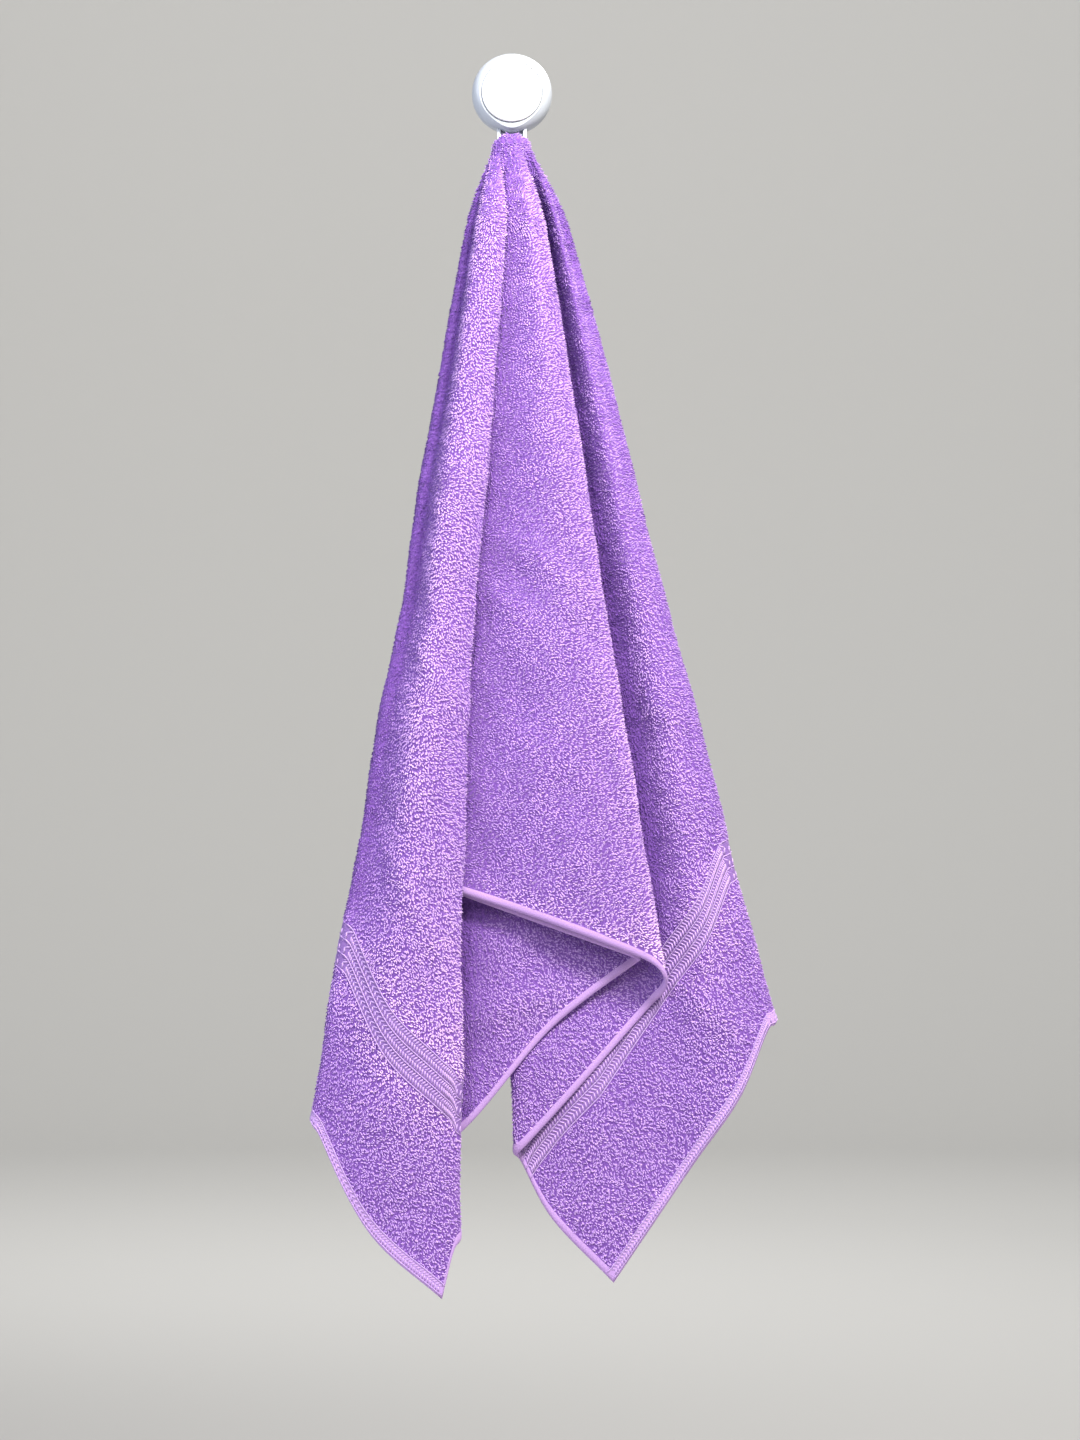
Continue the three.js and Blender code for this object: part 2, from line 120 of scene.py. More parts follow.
def addNode(tree, kind, settings=None, inputs=None):
    # One node of a material: settings are its own values, and inputs its sockets' values, or what is
    # linked to them: a socket, or a node by its first output in use
    node = tree.nodes.new(kind)
    for key, value in (settings or {}).items():
        setattr(node, key, value)
    for key, value in (inputs or {}).items():
        if isinstance(value, bpy.types.Node):
            value = next(output for output in value.outputs if output.enabled)
        if isinstance(value, bpy.types.NodeSocket):
            tree.links.new(value, node.inputs[key])
        else:
            node.inputs[key].default_value = value
    return node


def newMaterial(name):
    material = bpy.data.materials.new(name)
    material.use_nodes = True
    tree = material.node_tree
    tree.nodes.clear()
    return material, tree


# The towel: 650 by 1400 cut size, with its hanging point 35 in from the back long edge
cloth = {
    "frontFlat": -615,
    "backFlat": 35,
    "leftFlat": -706,
    "rightFlat": 694,
    "topZ": -35,
    "capReach": 17,      # the little dome over the hook's finger
    "capHeight": 12.5,
    "capHalfWidth": 14.5,
    "capHalfDepth": 7,
    "capOut": 30,
    "neckReach": 76,     # where the folds are gathered closest
    "neckZ": -108,
    "shortest": 90,      # columns shorter than this hang straight from the cap
    "wideTurn": 4.5,     # folds rounder than this get five lines instead of three
    "foldSpread": 3,     # degrees between a fold's lines at the cap
    "capRows": 8,
    "bodyRows": 100,
    "hemRows": 9,
    "crowding": 1.1,
    "columnPitch": 3.8,
    "hemZone": 15,       # the rows are close over this width along the edges
    "groundHalf": 0.75,  # half the thickness of the ground weave
    "groundHalfAtHook": 0.5,
    "hemHalf": 1.45,     # half the thickness of the turned hems
    "sideHem": 6,
    "endHem": 10,
    "beadBefore": 1.2,   # a hem's bead fades from this far before the hem's inner edge
    "beadPast": 0.6,     # to this far past it
    "endBead": 0.85,     # the end hems' bead is this share of the side hems'
    "beadAtHook": 0.35,  # and both are this share of their full height near the hook
    "beadFull": (90, 220),
    "fullReach": 400,    # the ground and the waves are at their full size from this reach on
    "wavesFrom": 60,
    "bandFrom": 113,     # the woven band lies this far in from each end
    "bandTo": 144,
}

# The lines of the drape, round the towel's edge from the middle of its back long edge. Each runs from
# the hanging point to a place on the edge. flat: its (x, y) on the flat towel. turn: degrees round the
# finger, 270 at the back. neck: its (x, out) at the neck. end: the (x, z, out) where its end hangs.
# midOut: how far out it is halfway, where that isn't the mean. bow: sideways bow halfway.
# fold: 1 where the cloth turns back at its right, -1 at its left, with turns its radii at the neck,
# halfway and at the edge. endRise: how far a fold's hem rises before its tip and drops after it.
lines = [
    {"name": "back middle", "flat": (0, 35), "turn": 270, "neck": (0, 22), "end": (0, -66, 22)},
    {"name": "back left of finger", "flat": (-20, 35), "turn": 250, "neck": (-24, 23),
     "end": (-12, -71, 22.5)},
    {"name": "back left of arm", "flat": (-48, 35), "turn": 236, "neck": (-27, 23), "end": (-15, -92, 21)},
    {"name": "back left hem", "flat": (-250, 35), "turn": 226, "neck": (-14, 19), "end": (-17, -280, 13)},
    {"name": "back left corner", "flat": (-706, 35), "turn": 218, "neck": (-24, 19),
     "end": (-72, -712, 5.5), "corner": True},
    {"name": "left end, first turn", "flat": (-706, -130), "turn": 208, "neck": (-34, 22.5),
     "end": (-136, -726, 10.5), "fold": -1, "turns": (1.6, 2.4, 2.5)},
    {"name": "left end, second turn", "flat": (-706, -280), "turn": 196, "neck": (-20, 27),
     "end": (-48, -756, 16.5), "fold": 1, "turns": (1.7, 2.6, 2.8)},
    {"name": "left outer fold", "flat": (-706, -430), "turn": 180, "neck": (-35, 36),
     "end": (-160, -818, 27), "fold": -1, "turns": (5.5, 7, 6)},
    {"name": "left ridge", "flat": (-706, -520), "turn": 160, "neck": (-25, 57), "end": (-112, -907, 46),
     "midOut": 61, "bow": -5},
    {"name": "front left corner", "flat": (-706, -615), "turn": 148, "neck": (-14, 62.5),
     "end": (-55, -957, 50), "midOut": 59, "bow": -17, "corner": True},
    {"name": "left ridge, right side", "flat": (-655, -615), "turn": 136, "neck": (-5, 59),
     "end": (-41, -912, 45.5), "midOut": 52.5, "bow": -12, "fold": 1, "turns": (3.2, 3, 4)},
    {"name": "behind left ridge", "flat": (-580, -615), "turn": 126, "neck": (-21, 48),
     "end": (-98, -872, 34), "midOut": 41, "fold": -1, "turns": (5.2, 6.4, 4)},
    {"name": "pocket, left", "flat": (-492, -615), "turn": 117, "neck": (-4, 44), "end": (-37, -824, 29.5),
     "midOut": 35.5},
    {"name": "pocket, middle", "flat": (-400, -615), "turn": 110, "neck": (7, 44.2),
     "end": (32, -744, 30.5), "midOut": 37.2},
    {"name": "pocket, right", "flat": (-285, -615), "turn": 101, "neck": (17, 46), "end": (102, -690, 36),
     "midOut": 40.4, "fold": 1, "turns": (1.7, 2.8, 3)},
    {"name": "panel, hidden left", "flat": (-60, -615), "turn": 91, "neck": (-13, 49.2),
     "end": (-64, -630, 39.5), "midOut": 43.4, "fold": -1, "turns": (1.6, 2.4, 3)},
    {"name": "panel, left", "flat": (70, -615), "turn": 82, "neck": (3, 56), "end": (-2, -649, 47),
     "midOut": 52.5},
    {"name": "panel, middle", "flat": (170, -615), "turn": 73, "neck": (14, 60.5), "end": (66, -673, 52),
     "midOut": 58},
    {"name": "panel, right", "flat": (330, -615), "turn": 61, "neck": (25.5, 50), "end": (122, -709, 39),
     "fold": 1, "turns": (8, 11, 11), "endRise": 17},
    {"name": "inner sheet", "flat": (440, -615), "turn": 52, "neck": (14, 40.2), "end": (54, -791, 24),
     "midOut": 30.5},
    {"name": "inner turn", "flat": (545, -615), "turn": 43, "neck": (3, 38.4), "end": (3, -846, 18),
     "midOut": 28, "bow": -9, "fold": -1, "turns": (1.6, 2.8, 3)},
    {"name": "right lobe, left", "flat": (620, -615), "turn": 34, "neck": (15, 35.6), "end": (32, -897, 15),
     "midOut": 24.3},
    {"name": "front right corner", "flat": (694, -615), "turn": 26, "neck": (22, 35.4),
     "end": (81, -948, 18), "midOut": 24.8, "corner": True},
    {"name": "right lobe, middle", "flat": (694, -480), "turn": 18, "neck": (29, 38),
     "end": (144, -854, 23), "midOut": 28.3},
    {"name": "right ridge", "flat": (694, -395), "turn": 9, "neck": (36, 46.5), "end": (183, -796, 33),
     "midOut": 42},
    {"name": "right outer fold", "flat": (694, -300), "turn": 357, "neck": (44, 36), "end": (209, -740, 25),
     "midOut": 32, "fold": 1, "turns": (5.5, 6.5, 5)},
    {"name": "right end, first turn", "flat": (694, -190), "turn": 346, "neck": (16, 27.5),
     "end": (44, -732, 14), "midOut": 19.4, "fold": -1, "turns": (1.7, 2.5, 2.5)},
    {"name": "right end, second turn", "flat": (694, -90), "turn": 335, "neck": (38, 23.2),
     "end": (188, -704, 9.5), "fold": 1, "turns": (1.6, 2.2, 2.2)},
    {"name": "back right corner", "flat": (694, 35), "turn": 324, "neck": (25, 19.5), "end": (86, -698, 5),
     "corner": True},
    {"name": "back right hem", "flat": (250, 35), "turn": 315, "neck": (14, 19), "end": (18, -280, 13)},
    {"name": "back right of arm", "flat": (48, 35), "turn": 304, "neck": (27, 23), "end": (15, -92, 21)},
    {"name": "back right of finger", "flat": (20, 35), "turn": 290, "neck": (24, 23),
     "end": (12, -71, 22.5)},
]


def controlLines():
    # Every line of the table as values carried across the cloth. A fold opens into three or five
    # lines along its turn: side s from -1 to 1 moves x by radius times (1 - cos(90 s)) away from the
    # tip, and out by radius times sin(90 s) away from the cloth in front.
    found = []
    for i, line in enumerate(lines):
        before, after = lines[i - 1], lines[(i + 1) % len(lines)]
        inFront = np.sign(before["neck"][1] + before["end"][2] - after["neck"][1] - after["end"][2])
        flatX, flatY = line["flat"]
        neckX, neckOut = line["neck"]
        endX, endZ, endOut = line["end"]
        fold = line.get("fold", 0)
        sides = [0]
        if fold:
            sides = [-1, -0.5, 0, 0.5, 1] if line["turns"][1] > cloth["wideTurn"] else [-1, 0, 1]
        for side in sides:
            cap = math.radians(line["turn"] - side * cloth["foldSpread"])
            value = {
                "flatX": flatX,
                "flatY": flatY,
                "capX": cloth["capHalfWidth"] * math.cos(cap),
                "capOut": cloth["capOut"] + cloth["capHalfDepth"] * math.sin(cap),
                "neckX": neckX,
                "neckOut": neckOut,
                "midX": (neckX + endX) / 2 + line.get("bow", 0),
                "midOut": line.get("midOut", (neckOut + endOut) / 2),
                "endX": endX,
                "endOut": endOut,
                "endZ": endZ,
                "corner": line.get("corner", False),
            }
            if fold:
                angle = side * math.pi / 2
                for level, radius in zip(("neck", "mid", "end"), line["turns"]):
                    value[level + "X"] -= fold * radius * (1 - math.cos(angle))
                    value[level + "Out"] -= inFront * radius * math.sin(angle)
                rise = line.get("endRise", 0)
                half = math.hypot(math.pi / 2 * line["turns"][2], rise)
                neighbour = before if side < 0 else after
                apart = math.dist(neighbour["flat"], line["flat"])
                if flatY == cloth["frontFlat"]:
                    value["flatX"] += side * half
                else:
                    value["flatY"] += side * half * np.sign(flatX)
                fall = abs(side) * half / apart * (neighbour["end"][1] - endZ)
                value["endZ"] += -side * rise if rise else fall
            found.append(value)
    return {key: np.array([value[key] for value in found], dtype=float) for key in found[0]}


def clothColumns(pitch, least, most):
    # Smooth curves across the control lines: cubic Hermite pieces whose knots are spaced by the
    # square root of the lines' distance apart, so that a tight turn doesn't overshoot
    control = controlLines()
    count = len(control["flatX"])
    onward = {key: np.roll(value, -1) for key, value in control.items()}
    apart = np.sqrt((onward["midX"] - control["midX"]) ** 2 + (onward["midOut"] - control["midOut"]) ** 2
                    + ((onward["endZ"] - control["endZ"]) / 4) ** 2) + 1
    gap = np.sqrt(apart)
    gapBefore = np.roll(gap, 1)
    steps = np.clip(np.round(apart / pitch), least, most).astype(int)
    index = np.repeat(np.arange(count), steps)
    first = np.repeat(np.cumsum(steps) - steps, steps)
    t = (np.arange(len(index)) - first) / steps[index]
    following = (index + 1) % count
    columns = {}
    for key in ("flatX", "flatY"):
        columns[key] = mixed(control[key][index], control[key][following], t)
    for key in ("capX", "capOut", "neckX", "neckOut", "midX", "midOut", "endX", "endOut", "endZ"):
        value = control[key]
        after = (onward[key] - value) / gap
        before = np.roll(after, 1)
        slope = (before * gap + after * gapBefore) / (gap + gapBefore)
        sharp = (control["corner"] > 0) & key.startswith("end")
        start = np.where(sharp, after, slope)[index] * gap[index]
        stop = np.where(sharp, before, slope)[following] * gap[index]
        columns[key] = hermite(value[index], start, value[following], stop, t)
    return columns


def hermite(a, slopeA, b, slopeB, t):
    # (2t^3 - 3t^2 + 1) a + (t^3 - 2t^2 + t) slopeA + (3t^2 - 2t^3) b + (t^3 - t^2) slopeB
    t2, t3 = t * t, t * t * t
    return (2 * t3 - 3 * t2 + 1) * a + (t3 - 2 * t2 + t) * slopeA + (3 * t2 - 2 * t3) * b + (t3 - t2) * slopeB


def alongStops(knots, stops, reach):
    # The smooth curve through the stops at a reach. The slope at a stop is the mean of the two
    # stretches' slopes, weighted by their lengths.
    gaps = [knots[i + 1] - knots[i] for i in range(len(knots) - 1)]
    rises = [(stops[i + 1] - stops[i]) / gaps[i][..., None] for i in range(len(gaps))]
    slopes = [rises[0]]
    for i in range(1, len(gaps)):
        total = (gaps[i - 1] + gaps[i])[..., None]
        slopes.append((rises[i - 1] * gaps[i - 1][..., None] + rises[i] * gaps[i][..., None]) / total)
    slopes.append(rises[-1])
    place = np.zeros(reach.shape + (3,))
    for i, gap in enumerate(gaps):
        t = ((reach - knots[i]) / gap)[..., None]
        piece = hermite(stops[i], slopes[i] * gap[..., None], stops[i + 1], slopes[i + 1] * gap[..., None], t)
        inside = (reach >= knots[i])[..., None] if i else np.ones(reach.shape + (1,), dtype=bool)
        place = np.where(inside, piece, place)
    return place


def hangingPoints(columns, reach):
    # The point of each column at each reach (rows by columns) along the cloth from the hanging
    # point: a quarter ellipse over the cap, then a smooth curve by the neck and middle to the end
    whole = np.hypot(columns["flatX"], columns["flatY"])
    share = np.clip(reach / cloth["capReach"], 0, 1) * math.pi / 2
    dome = np.stack([
        columns["capX"] * np.sin(share),
        -mixed(cloth["capOut"], columns["capOut"], np.sin(share)),
        cloth["topZ"] - cloth["capHeight"] * (1 - np.cos(share)) + 0 * columns["capX"],
    ], axis=-1)
    level = np.ones_like(whole)
    cap = np.stack([columns["capX"], -columns["capOut"], (cloth["topZ"] - cloth["capHeight"]) * level],
                   axis=-1)
    neck = np.stack([columns["neckX"], -columns["neckOut"], cloth["neckZ"] * level], axis=-1)
    middle = np.stack([columns["midX"], -columns["midOut"], (cloth["neckZ"] + columns["endZ"]) / 2], axis=-1)
    end = np.stack([columns["endX"], -columns["endOut"], columns["endZ"]], axis=-1)
    start = cloth["capReach"] * level
    short = alongStops([start, whole], [cap, end], reach)
    shortest = cloth["shortest"]
    longKnots = [start, cloth["neckReach"] * level, (cloth["neckReach"] + np.maximum(whole, shortest)) / 2,
                 np.maximum(whole, shortest + 1)]
    long = alongStops(longKnots, [cap, neck, middle, end], reach)
    blend = smooth(shortest, 2 * shortest, whole)[..., None]
    hung = mixed(short, long, blend)
    return np.where((reach <= cloth["capReach"])[..., None], dome, hung)


def edgeDistances(flatX, flatY):
    # Distances in from the nearer end hem and from the nearer long side
    toEnd = np.minimum(flatX - cloth["leftFlat"], cloth["rightFlat"] - flatX)
    toSide = np.minimum(flatY - cloth["frontFlat"], cloth["backFlat"] - flatY)
    return toEnd, toSide


def waves(flatX, flatY, table):
    # The sum of plane waves: size times sin(2 pi (x cos a + y sin a) / length + start)
    total = np.zeros_like(flatX)
    for wave in table:
        angle = math.radians(wave["angle"])
        along = flatX * math.cos(angle) + flatY * math.sin(angle)
        total += wave["size"] * np.sin(2 * math.pi * along / wave["length"] + wave["start"])
    return total


# The towel's unevenness: soft waves in the cloth, in millimetres
unevenness = [
    {"size": 0.8, "length": 210, "angle": 20, "start": 0.4},
    {"size": 0.6, "length": 137, "angle": 75, "start": 2.1},
    {"size": 0.45, "length": 88, "angle": 130, "start": 4.0},
    {"size": 0.3, "length": 61, "angle": 50, "start": 1.2},
]

# The main creases by their two ends on the flat towel. height is below 0 for a trough.
creases = [
    {"name": "panel, upper", "from": (-10, -322), "to": (185, -350), "height": -1.6, "width": 11},
    {"name": "panel, short", "from": (4, -371), "to": (50, -379), "height": -1.4, "width": 7},
    {"name": "panel, long", "from": (70, -360), "to": (190, -367), "height": -1.6, "width": 7},
    {"name": "panel, ridge above", "from": (20, -352), "to": (200, -380), "height": 1.3, "width": 12},
    {"name": "panel, low", "from": (40, -470), "to": (190, -500), "height": -1.1, "width": 14},
    {"name": "left ridge", "from": (-338, -244), "to": (-345, -332), "height": -1.8, "width": 8},
    {"name": "left ridge, low", "from": (-470, -330), "to": (-505, -455), "height": -1.5, "width": 13},
    {"name": "left side", "from": (-400, -215), "to": (-520, -280), "height": -1.4, "width": 14},
    {"name": "right ridge", "from": (396, -247), "to": (446, -224), "height": -1.8, "width": 8},
    {"name": "pocket", "from": (-445, -540), "to": (-378, -603), "height": -2.0, "width": 11},
    {"name": "pocket, second", "from": (-380, -520), "to": (-330, -590), "height": -1.3, "width": 12},
    {"name": "right lobe", "from": (566, -392), "to": (672, -360), "height": -2.0, "width": 9},
    {"name": "right lobe, low", "from": (590, -470), "to": (680, -440), "height": -1.3, "width": 13},
]


def creaseHeights(flatX, flatY):
    # Each crease is height times exp(-(distance / width)^2), fading to nothing at its two ends
    total = np.zeros_like(flatX)
    for crease in creases:
        fromX, fromY = crease["from"]
        alongX, alongY = crease["to"][0] - fromX, crease["to"][1] - fromY
        length = math.hypot(alongX, alongY)
        along = ((flatX - fromX) * alongX + (flatY - fromY) * alongY) / length
        aside = ((flatX - fromX) * alongY - (flatY - fromY) * alongX) / length
        fade = smooth(-0.2 * length, 0.3 * length, along) * (1 - smooth(0.7 * length, 1.2 * length, along))
        total += crease["height"] * fade * np.exp(-(aside / crease["width"]) ** 2)
    return total


def surfaceNormals(place):
    # The cross product of the steps round and down the grid, at length 1
    onward = np.roll(place, -1, axis=1) - np.roll(place, 1, axis=1)
    return unit(np.cross(onward, np.gradient(place, axis=0)))


def towelSurface():
    # The middle surface of the hanging towel as a grid of rows (down the cloth) by columns (round
    # the hanging point), in millimetres, with normals and the flat place of each point. Waves and
    # creases move it along its normal, on the outer face up and on the inner face down.
    columns = clothColumns(cloth["columnPitch"], 3, 14)
    whole = np.hypot(columns["flatX"], columns["flatY"])
    onEnd = np.maximum(np.abs(columns["flatX"] - cloth["leftFlat"]) < 1e-6,
                       np.abs(columns["flatX"] - cloth["rightFlat"]) < 1e-6)
    across = np.where(onEnd, np.abs(columns["flatX"]), np.abs(columns["flatY"]))
    zone = np.minimum(cloth["hemZone"] * whole / across, 0.35 * (whole - cloth["capReach"]))
    capPart = cloth["capReach"] * np.arange(1, cloth["capRows"] + 1)[:, None] / cloth["capRows"] + 0 * whole
    bodyShare = (np.arange(1, cloth["bodyRows"] + 1)[:, None] / cloth["bodyRows"]) ** cloth["crowding"]
    bodyPart = mixed(cloth["capReach"], whole - zone, bodyShare)
    hemPart = whole - zone * (1 - np.arange(1, cloth["hemRows"] + 1)[:, None] / cloth["hemRows"])
    reach = np.concatenate([capPart, bodyPart, hemPart])
    place = hangingPoints(columns, reach)
    flatX = reach * columns["flatX"] / whole
    flatY = reach * columns["flatY"] / whole
    wavesIn = smooth(cloth["wavesFrom"], cloth["fullReach"], reach)
    uneven = waves(flatX, flatY, unevenness) * wavesIn + creaseHeights(flatX, flatY)
    place = place + surfaceNormals(place) * uneven[..., None]
    return {"columns": columns, "whole": whole, "zone": zone, "reach": reach, "place": place,
            "normal": surfaceNormals(place), "flatX": flatX, "flatY": flatY}


def halfThickness(surface):
    # Half the ground weave's thickness, growing from the hook down, with the hems a rounded bead
    toEnd, toSide = edgeDistances(surface["flatX"], surface["flatY"])
    reach = surface["reach"]
    ground = mixed(cloth["groundHalfAtHook"], cloth["groundHalf"], smooth(0, cloth["fullReach"], reach))
    sideBead, endBead = (1 - smooth(cloth[hem] - cloth["beadBefore"], cloth[hem] + cloth["beadPast"], inward)
                         for hem, inward in (("sideHem", toSide), ("endHem", toEnd)))
    bead = np.maximum(sideBead, endBead * cloth["endBead"])
    atEdge = np.sqrt(np.clip(np.minimum(toEnd, toSide) / 1.6, 0.12, 1))
    away = smooth(*cloth["beadFull"], reach)
    return mixed(ground, cloth["hemHalf"] * atEdge, bead * mixed(cloth["beadAtHook"], 1, away))


def towelShell(surface, material):
    # The closed sheet: the middle surface moved to both sides by half the thickness, joined round
    # its edge by one more row at the middle
    half = halfThickness(surface)[..., None]
    place, normal = surface["place"], surface["normal"]
    rows, wide = place.shape[:2]
    apex = np.array([0, -cloth["capOut"], cloth["topZ"]])
    flat = np.stack([surface["flatX"], surface["flatY"]], axis=-1).reshape(-1, 2)
    sides = []
    for side in (1, -1):
        top = apex + np.array([0, 0, side * cloth["groundHalfAtHook"]])
        sides.append(np.vstack([top, (place + side * half * normal).reshape(-1, 3)]))
    tangent = place[-1] - place[-2]
    tangent /= np.linalg.norm(tangent, axis=-1, keepdims=True)
    rim = place[-1] + tangent * 0.5
    points = np.vstack([*sides, rim]) * mm
    flats = np.vstack([[0, 0], flat, [0, 0], flat, flat[-wide:]]) * mm
    front = np.vstack([fanFaces(0, wide, 1), ringFaces(rows, wide, 1, turned=True)])
    count = 1 + rows * wide
    last = count - wide
    col = np.arange(wide)
    onward = (col + 1) % wide
    edgeFront, edgeBack, edgeRim = last + col, count + last + col, 2 * count + col
    nextFront, nextBack, nextRim = last + onward, count + last + onward, 2 * count + onward
    strip = [
        np.stack([edgeFront, edgeRim, nextFront], axis=-1), np.stack([nextFront, edgeRim, nextRim], axis=-1),
        np.stack([edgeRim, edgeBack, nextRim], axis=-1), np.stack([nextRim, edgeBack, nextBack], axis=-1),
    ]
    faces = np.vstack([front, front[:, ::-1] + count, *strip])
    return addMesh("towel_sheet", points, faces, material, flat=flats)


def seenFrom(points, normals, directions, cell=5.0, slack=3.5):
    # True for points that face at least one direction with nothing more than slack in front of
    # them, judged cell by cell on a plane across that direction. The slack grows with the slope.
    seen = np.zeros(len(points), dtype=bool)
    for direction in directions:
        along = np.array(direction, dtype=float)
        along /= np.linalg.norm(along)
        helper = np.array([0, 0, 1.0]) if abs(along[2]) < 0.9 else np.array([1.0, 0, 0])
        right = np.cross(helper, along)
        right /= np.linalg.norm(right)
        up = np.cross(along, right)
        across = np.floor(points @ right / cell).astype(int)
        upward = np.floor(points @ up / cell).astype(int)
        across -= across.min()
        upward -= upward.min()
        key = across * (upward.max() + 1) + upward
        depth = points @ along
        nearest = np.full(key.max() + 1, -1e9)
        np.maximum.at(nearest, key, depth)
        facing = normals @ along
        slope = np.sqrt(1 - np.clip(facing, 0, 1) ** 2) / np.maximum(facing, 0.15)
        seen |= (depth > nearest[key] - slack - cell * slope) & (facing > 0.02)
    return seen


def perimeterPlace(edgeX, edgeY):
    # The distance round the flat towel's edge from the middle of the back long side, going left
    left, right = cloth["leftFlat"], cloth["rightFlat"]
    front, back = cloth["frontFlat"], cloth["backFlat"]
    long, short = right - left, back - front
    onLeft = np.abs(edgeX - left) < 1e-3
    onRight = np.abs(edgeX - right) < 1e-3
    onFront = np.abs(edgeY - front) < 1e-3
    place = np.where(edgeX <= 0, -edgeX, long + 2 * short + long - edgeX)
    place = np.where(onFront, -left + short + (edgeX - left), place)
    place = np.where(onLeft, -left + (back - edgeY), place)
    return np.where(onRight, -left + short + long + (edgeY - front), place)


def surfaceAt(surface, grids, flatX, flatY):
    # The values of each grid at flat places: which column the ray hits, which row its reach is in,
    # and the four grid points there mixed
    big = 1e9
    toLeftRight = np.where(flatX < 0, cloth["leftFlat"], cloth["rightFlat"])
    toFrontBack = np.where(flatY < 0, cloth["frontFlat"], cloth["backFlat"])
    safeX = np.where(np.abs(flatX) < 1e-6, 1e-6, flatX)
    safeY = np.where(np.abs(flatY) < 1e-6, 1e-6, flatY)
    grow = np.minimum(np.minimum(np.abs(toLeftRight / safeX), np.abs(toFrontBack / safeY)), big)
    along = perimeterPlace(np.clip(flatX * grow, cloth["leftFlat"], cloth["rightFlat"]),
                           np.clip(flatY * grow, cloth["frontFlat"], cloth["backFlat"]))
    columns = surface["columns"]
    marks = perimeterPlace(columns["flatX"], columns["flatY"])
    wide = len(marks)
    allRound = 2 * (cloth["rightFlat"] - cloth["leftFlat"] + cloth["backFlat"] - cloth["frontFlat"])
    marks = np.append(marks, allRound)
    column = np.interp(along, marks, np.arange(wide + 1))
    col = np.minimum(column.astype(int), wide - 1)
    side = column - col
    onward = (col + 1) % wide
    reach = np.hypot(flatX, flatY)
    whole = reach * grow
    zone = mixed(surface["zone"][col], surface["zone"][onward], side)
    body = np.clip((reach - cloth["capReach"]) / (whole - zone - cloth["capReach"]), 0, 1)
    body = body ** (1 / cloth["crowding"])
    inHem = np.clip(1 - (whole - reach) / zone, 0, 1)
    line = np.where(reach < cloth["capReach"], cloth["capRows"] * reach / cloth["capReach"],
                    cloth["capRows"] + cloth["bodyRows"] * body + cloth["hemRows"] * inHem) - 1
    rows = surface["reach"].shape[0]
    line = np.clip(line, 0, rows - 1.001)
    row = line.astype(int)
    down = (line - row)[:, None]
    side = side[:, None]
    found = []
    for grid in grids:
        upper = mixed(grid[row, col], grid[row, onward], side)
        lower = mixed(grid[row + 1, col], grid[row + 1, onward], side)
        found.append(mixed(upper, lower, down))
    return found


# The pile: small leaning loops of yarn on both faces
pile = {
    "pitch": 1.75,       # distance between loops
    "length": 3.1,
    "width": 1.25,
    "height": 1.15,
    "sunk": 0.15,        # how deep the root lies in the ground
    "sideLean": 40,      # degrees off the line down the cloth on the two sides
    "panelLean": 82,     # and on the middle panel
    "panelLeft": (-90, 20),     # the panel's lean comes in and goes out over these flat widths
    "panelRight": (300, 380),
    "leanSpread": 28,
    "clump": 7.5,        # width of the clumps that lean together, and how far they swing
    "clumpLean": 55,
    "drift": 23,         # width of the wider, softer swings, and how far they go
    "driftLean": 30,
    "liftPatch": 4.5,    # width of the patches that stand higher or lower, and by what share
    "liftShare": 0.3,
    "hookZone": 130,     # over the hook, out to this reach, loops are longer and higher, and painted paler as light falling on the top
    "hookLonger": 1.4,
    "hookHigher": 1.7,
    "hookTone": 0.16,
    "behindLarger": 1.3,  # loops that don't show from the front are fewer, and this much larger
    "tones": (0.22, 0.38, 0.38, 0.78),  # of the root, the two feet and the tip: the root darker as painted shade, the tip paler as a painted highlight
    "toneSpread": 0.13,
    "clumpTone": 0.08,
    "hollowTone": 0.034,  # painted shade: darker for each millimetre that a place lies in a hollow or under an overhang, and paler, as painted light, where it stands out on a crest
    "deepTone": 0.03,     # and more painted shade for each millimetre past this depth
    "deepFrom": 6.5,
    "pieces": 4,          # the loops are shared between this many meshes
    "most": 170000,
}


def lookoutsOver(azimuths, heights):
    # Unit directions towards a viewer, azimuth 0 being in front of the towel
    found = []
    for height in np.radians(heights):
        for azimuth in np.radians(azimuths):
            found.append((math.sin(azimuth) * math.cos(height), -math.cos(azimuth) * math.cos(height),
                          math.sin(height)))
    return found


frontLookouts = lookoutsOver((-12, 0, 12), (-12, 0, 12))
otherLookouts = lookoutsOver(range(0, 360, 30), (-35, 0, 35)) + [(0, 0, 1), (0, 0, -1)]


def softNoise(flatX, flatY, size):
    # Random values from -1 to 1 on a square grid of this size, mixed smoothly between the nearest four
    across = (flatX - cloth["leftFlat"]) / size
    upward = (flatY - cloth["frontFlat"]) / size
    col, row = across.astype(int), upward.astype(int)
    values = random.uniform(-1, 1, (row.max() + 2, col.max() + 2))
    shareX, shareY = smooth(0, 1, across - col), smooth(0, 1, upward - row)
    lower = mixed(values[row, col], values[row, col + 1], shareX)
    upper = mixed(values[row + 1, col], values[row + 1, col + 1], shareX)
    return mixed(lower, upper, shareY)


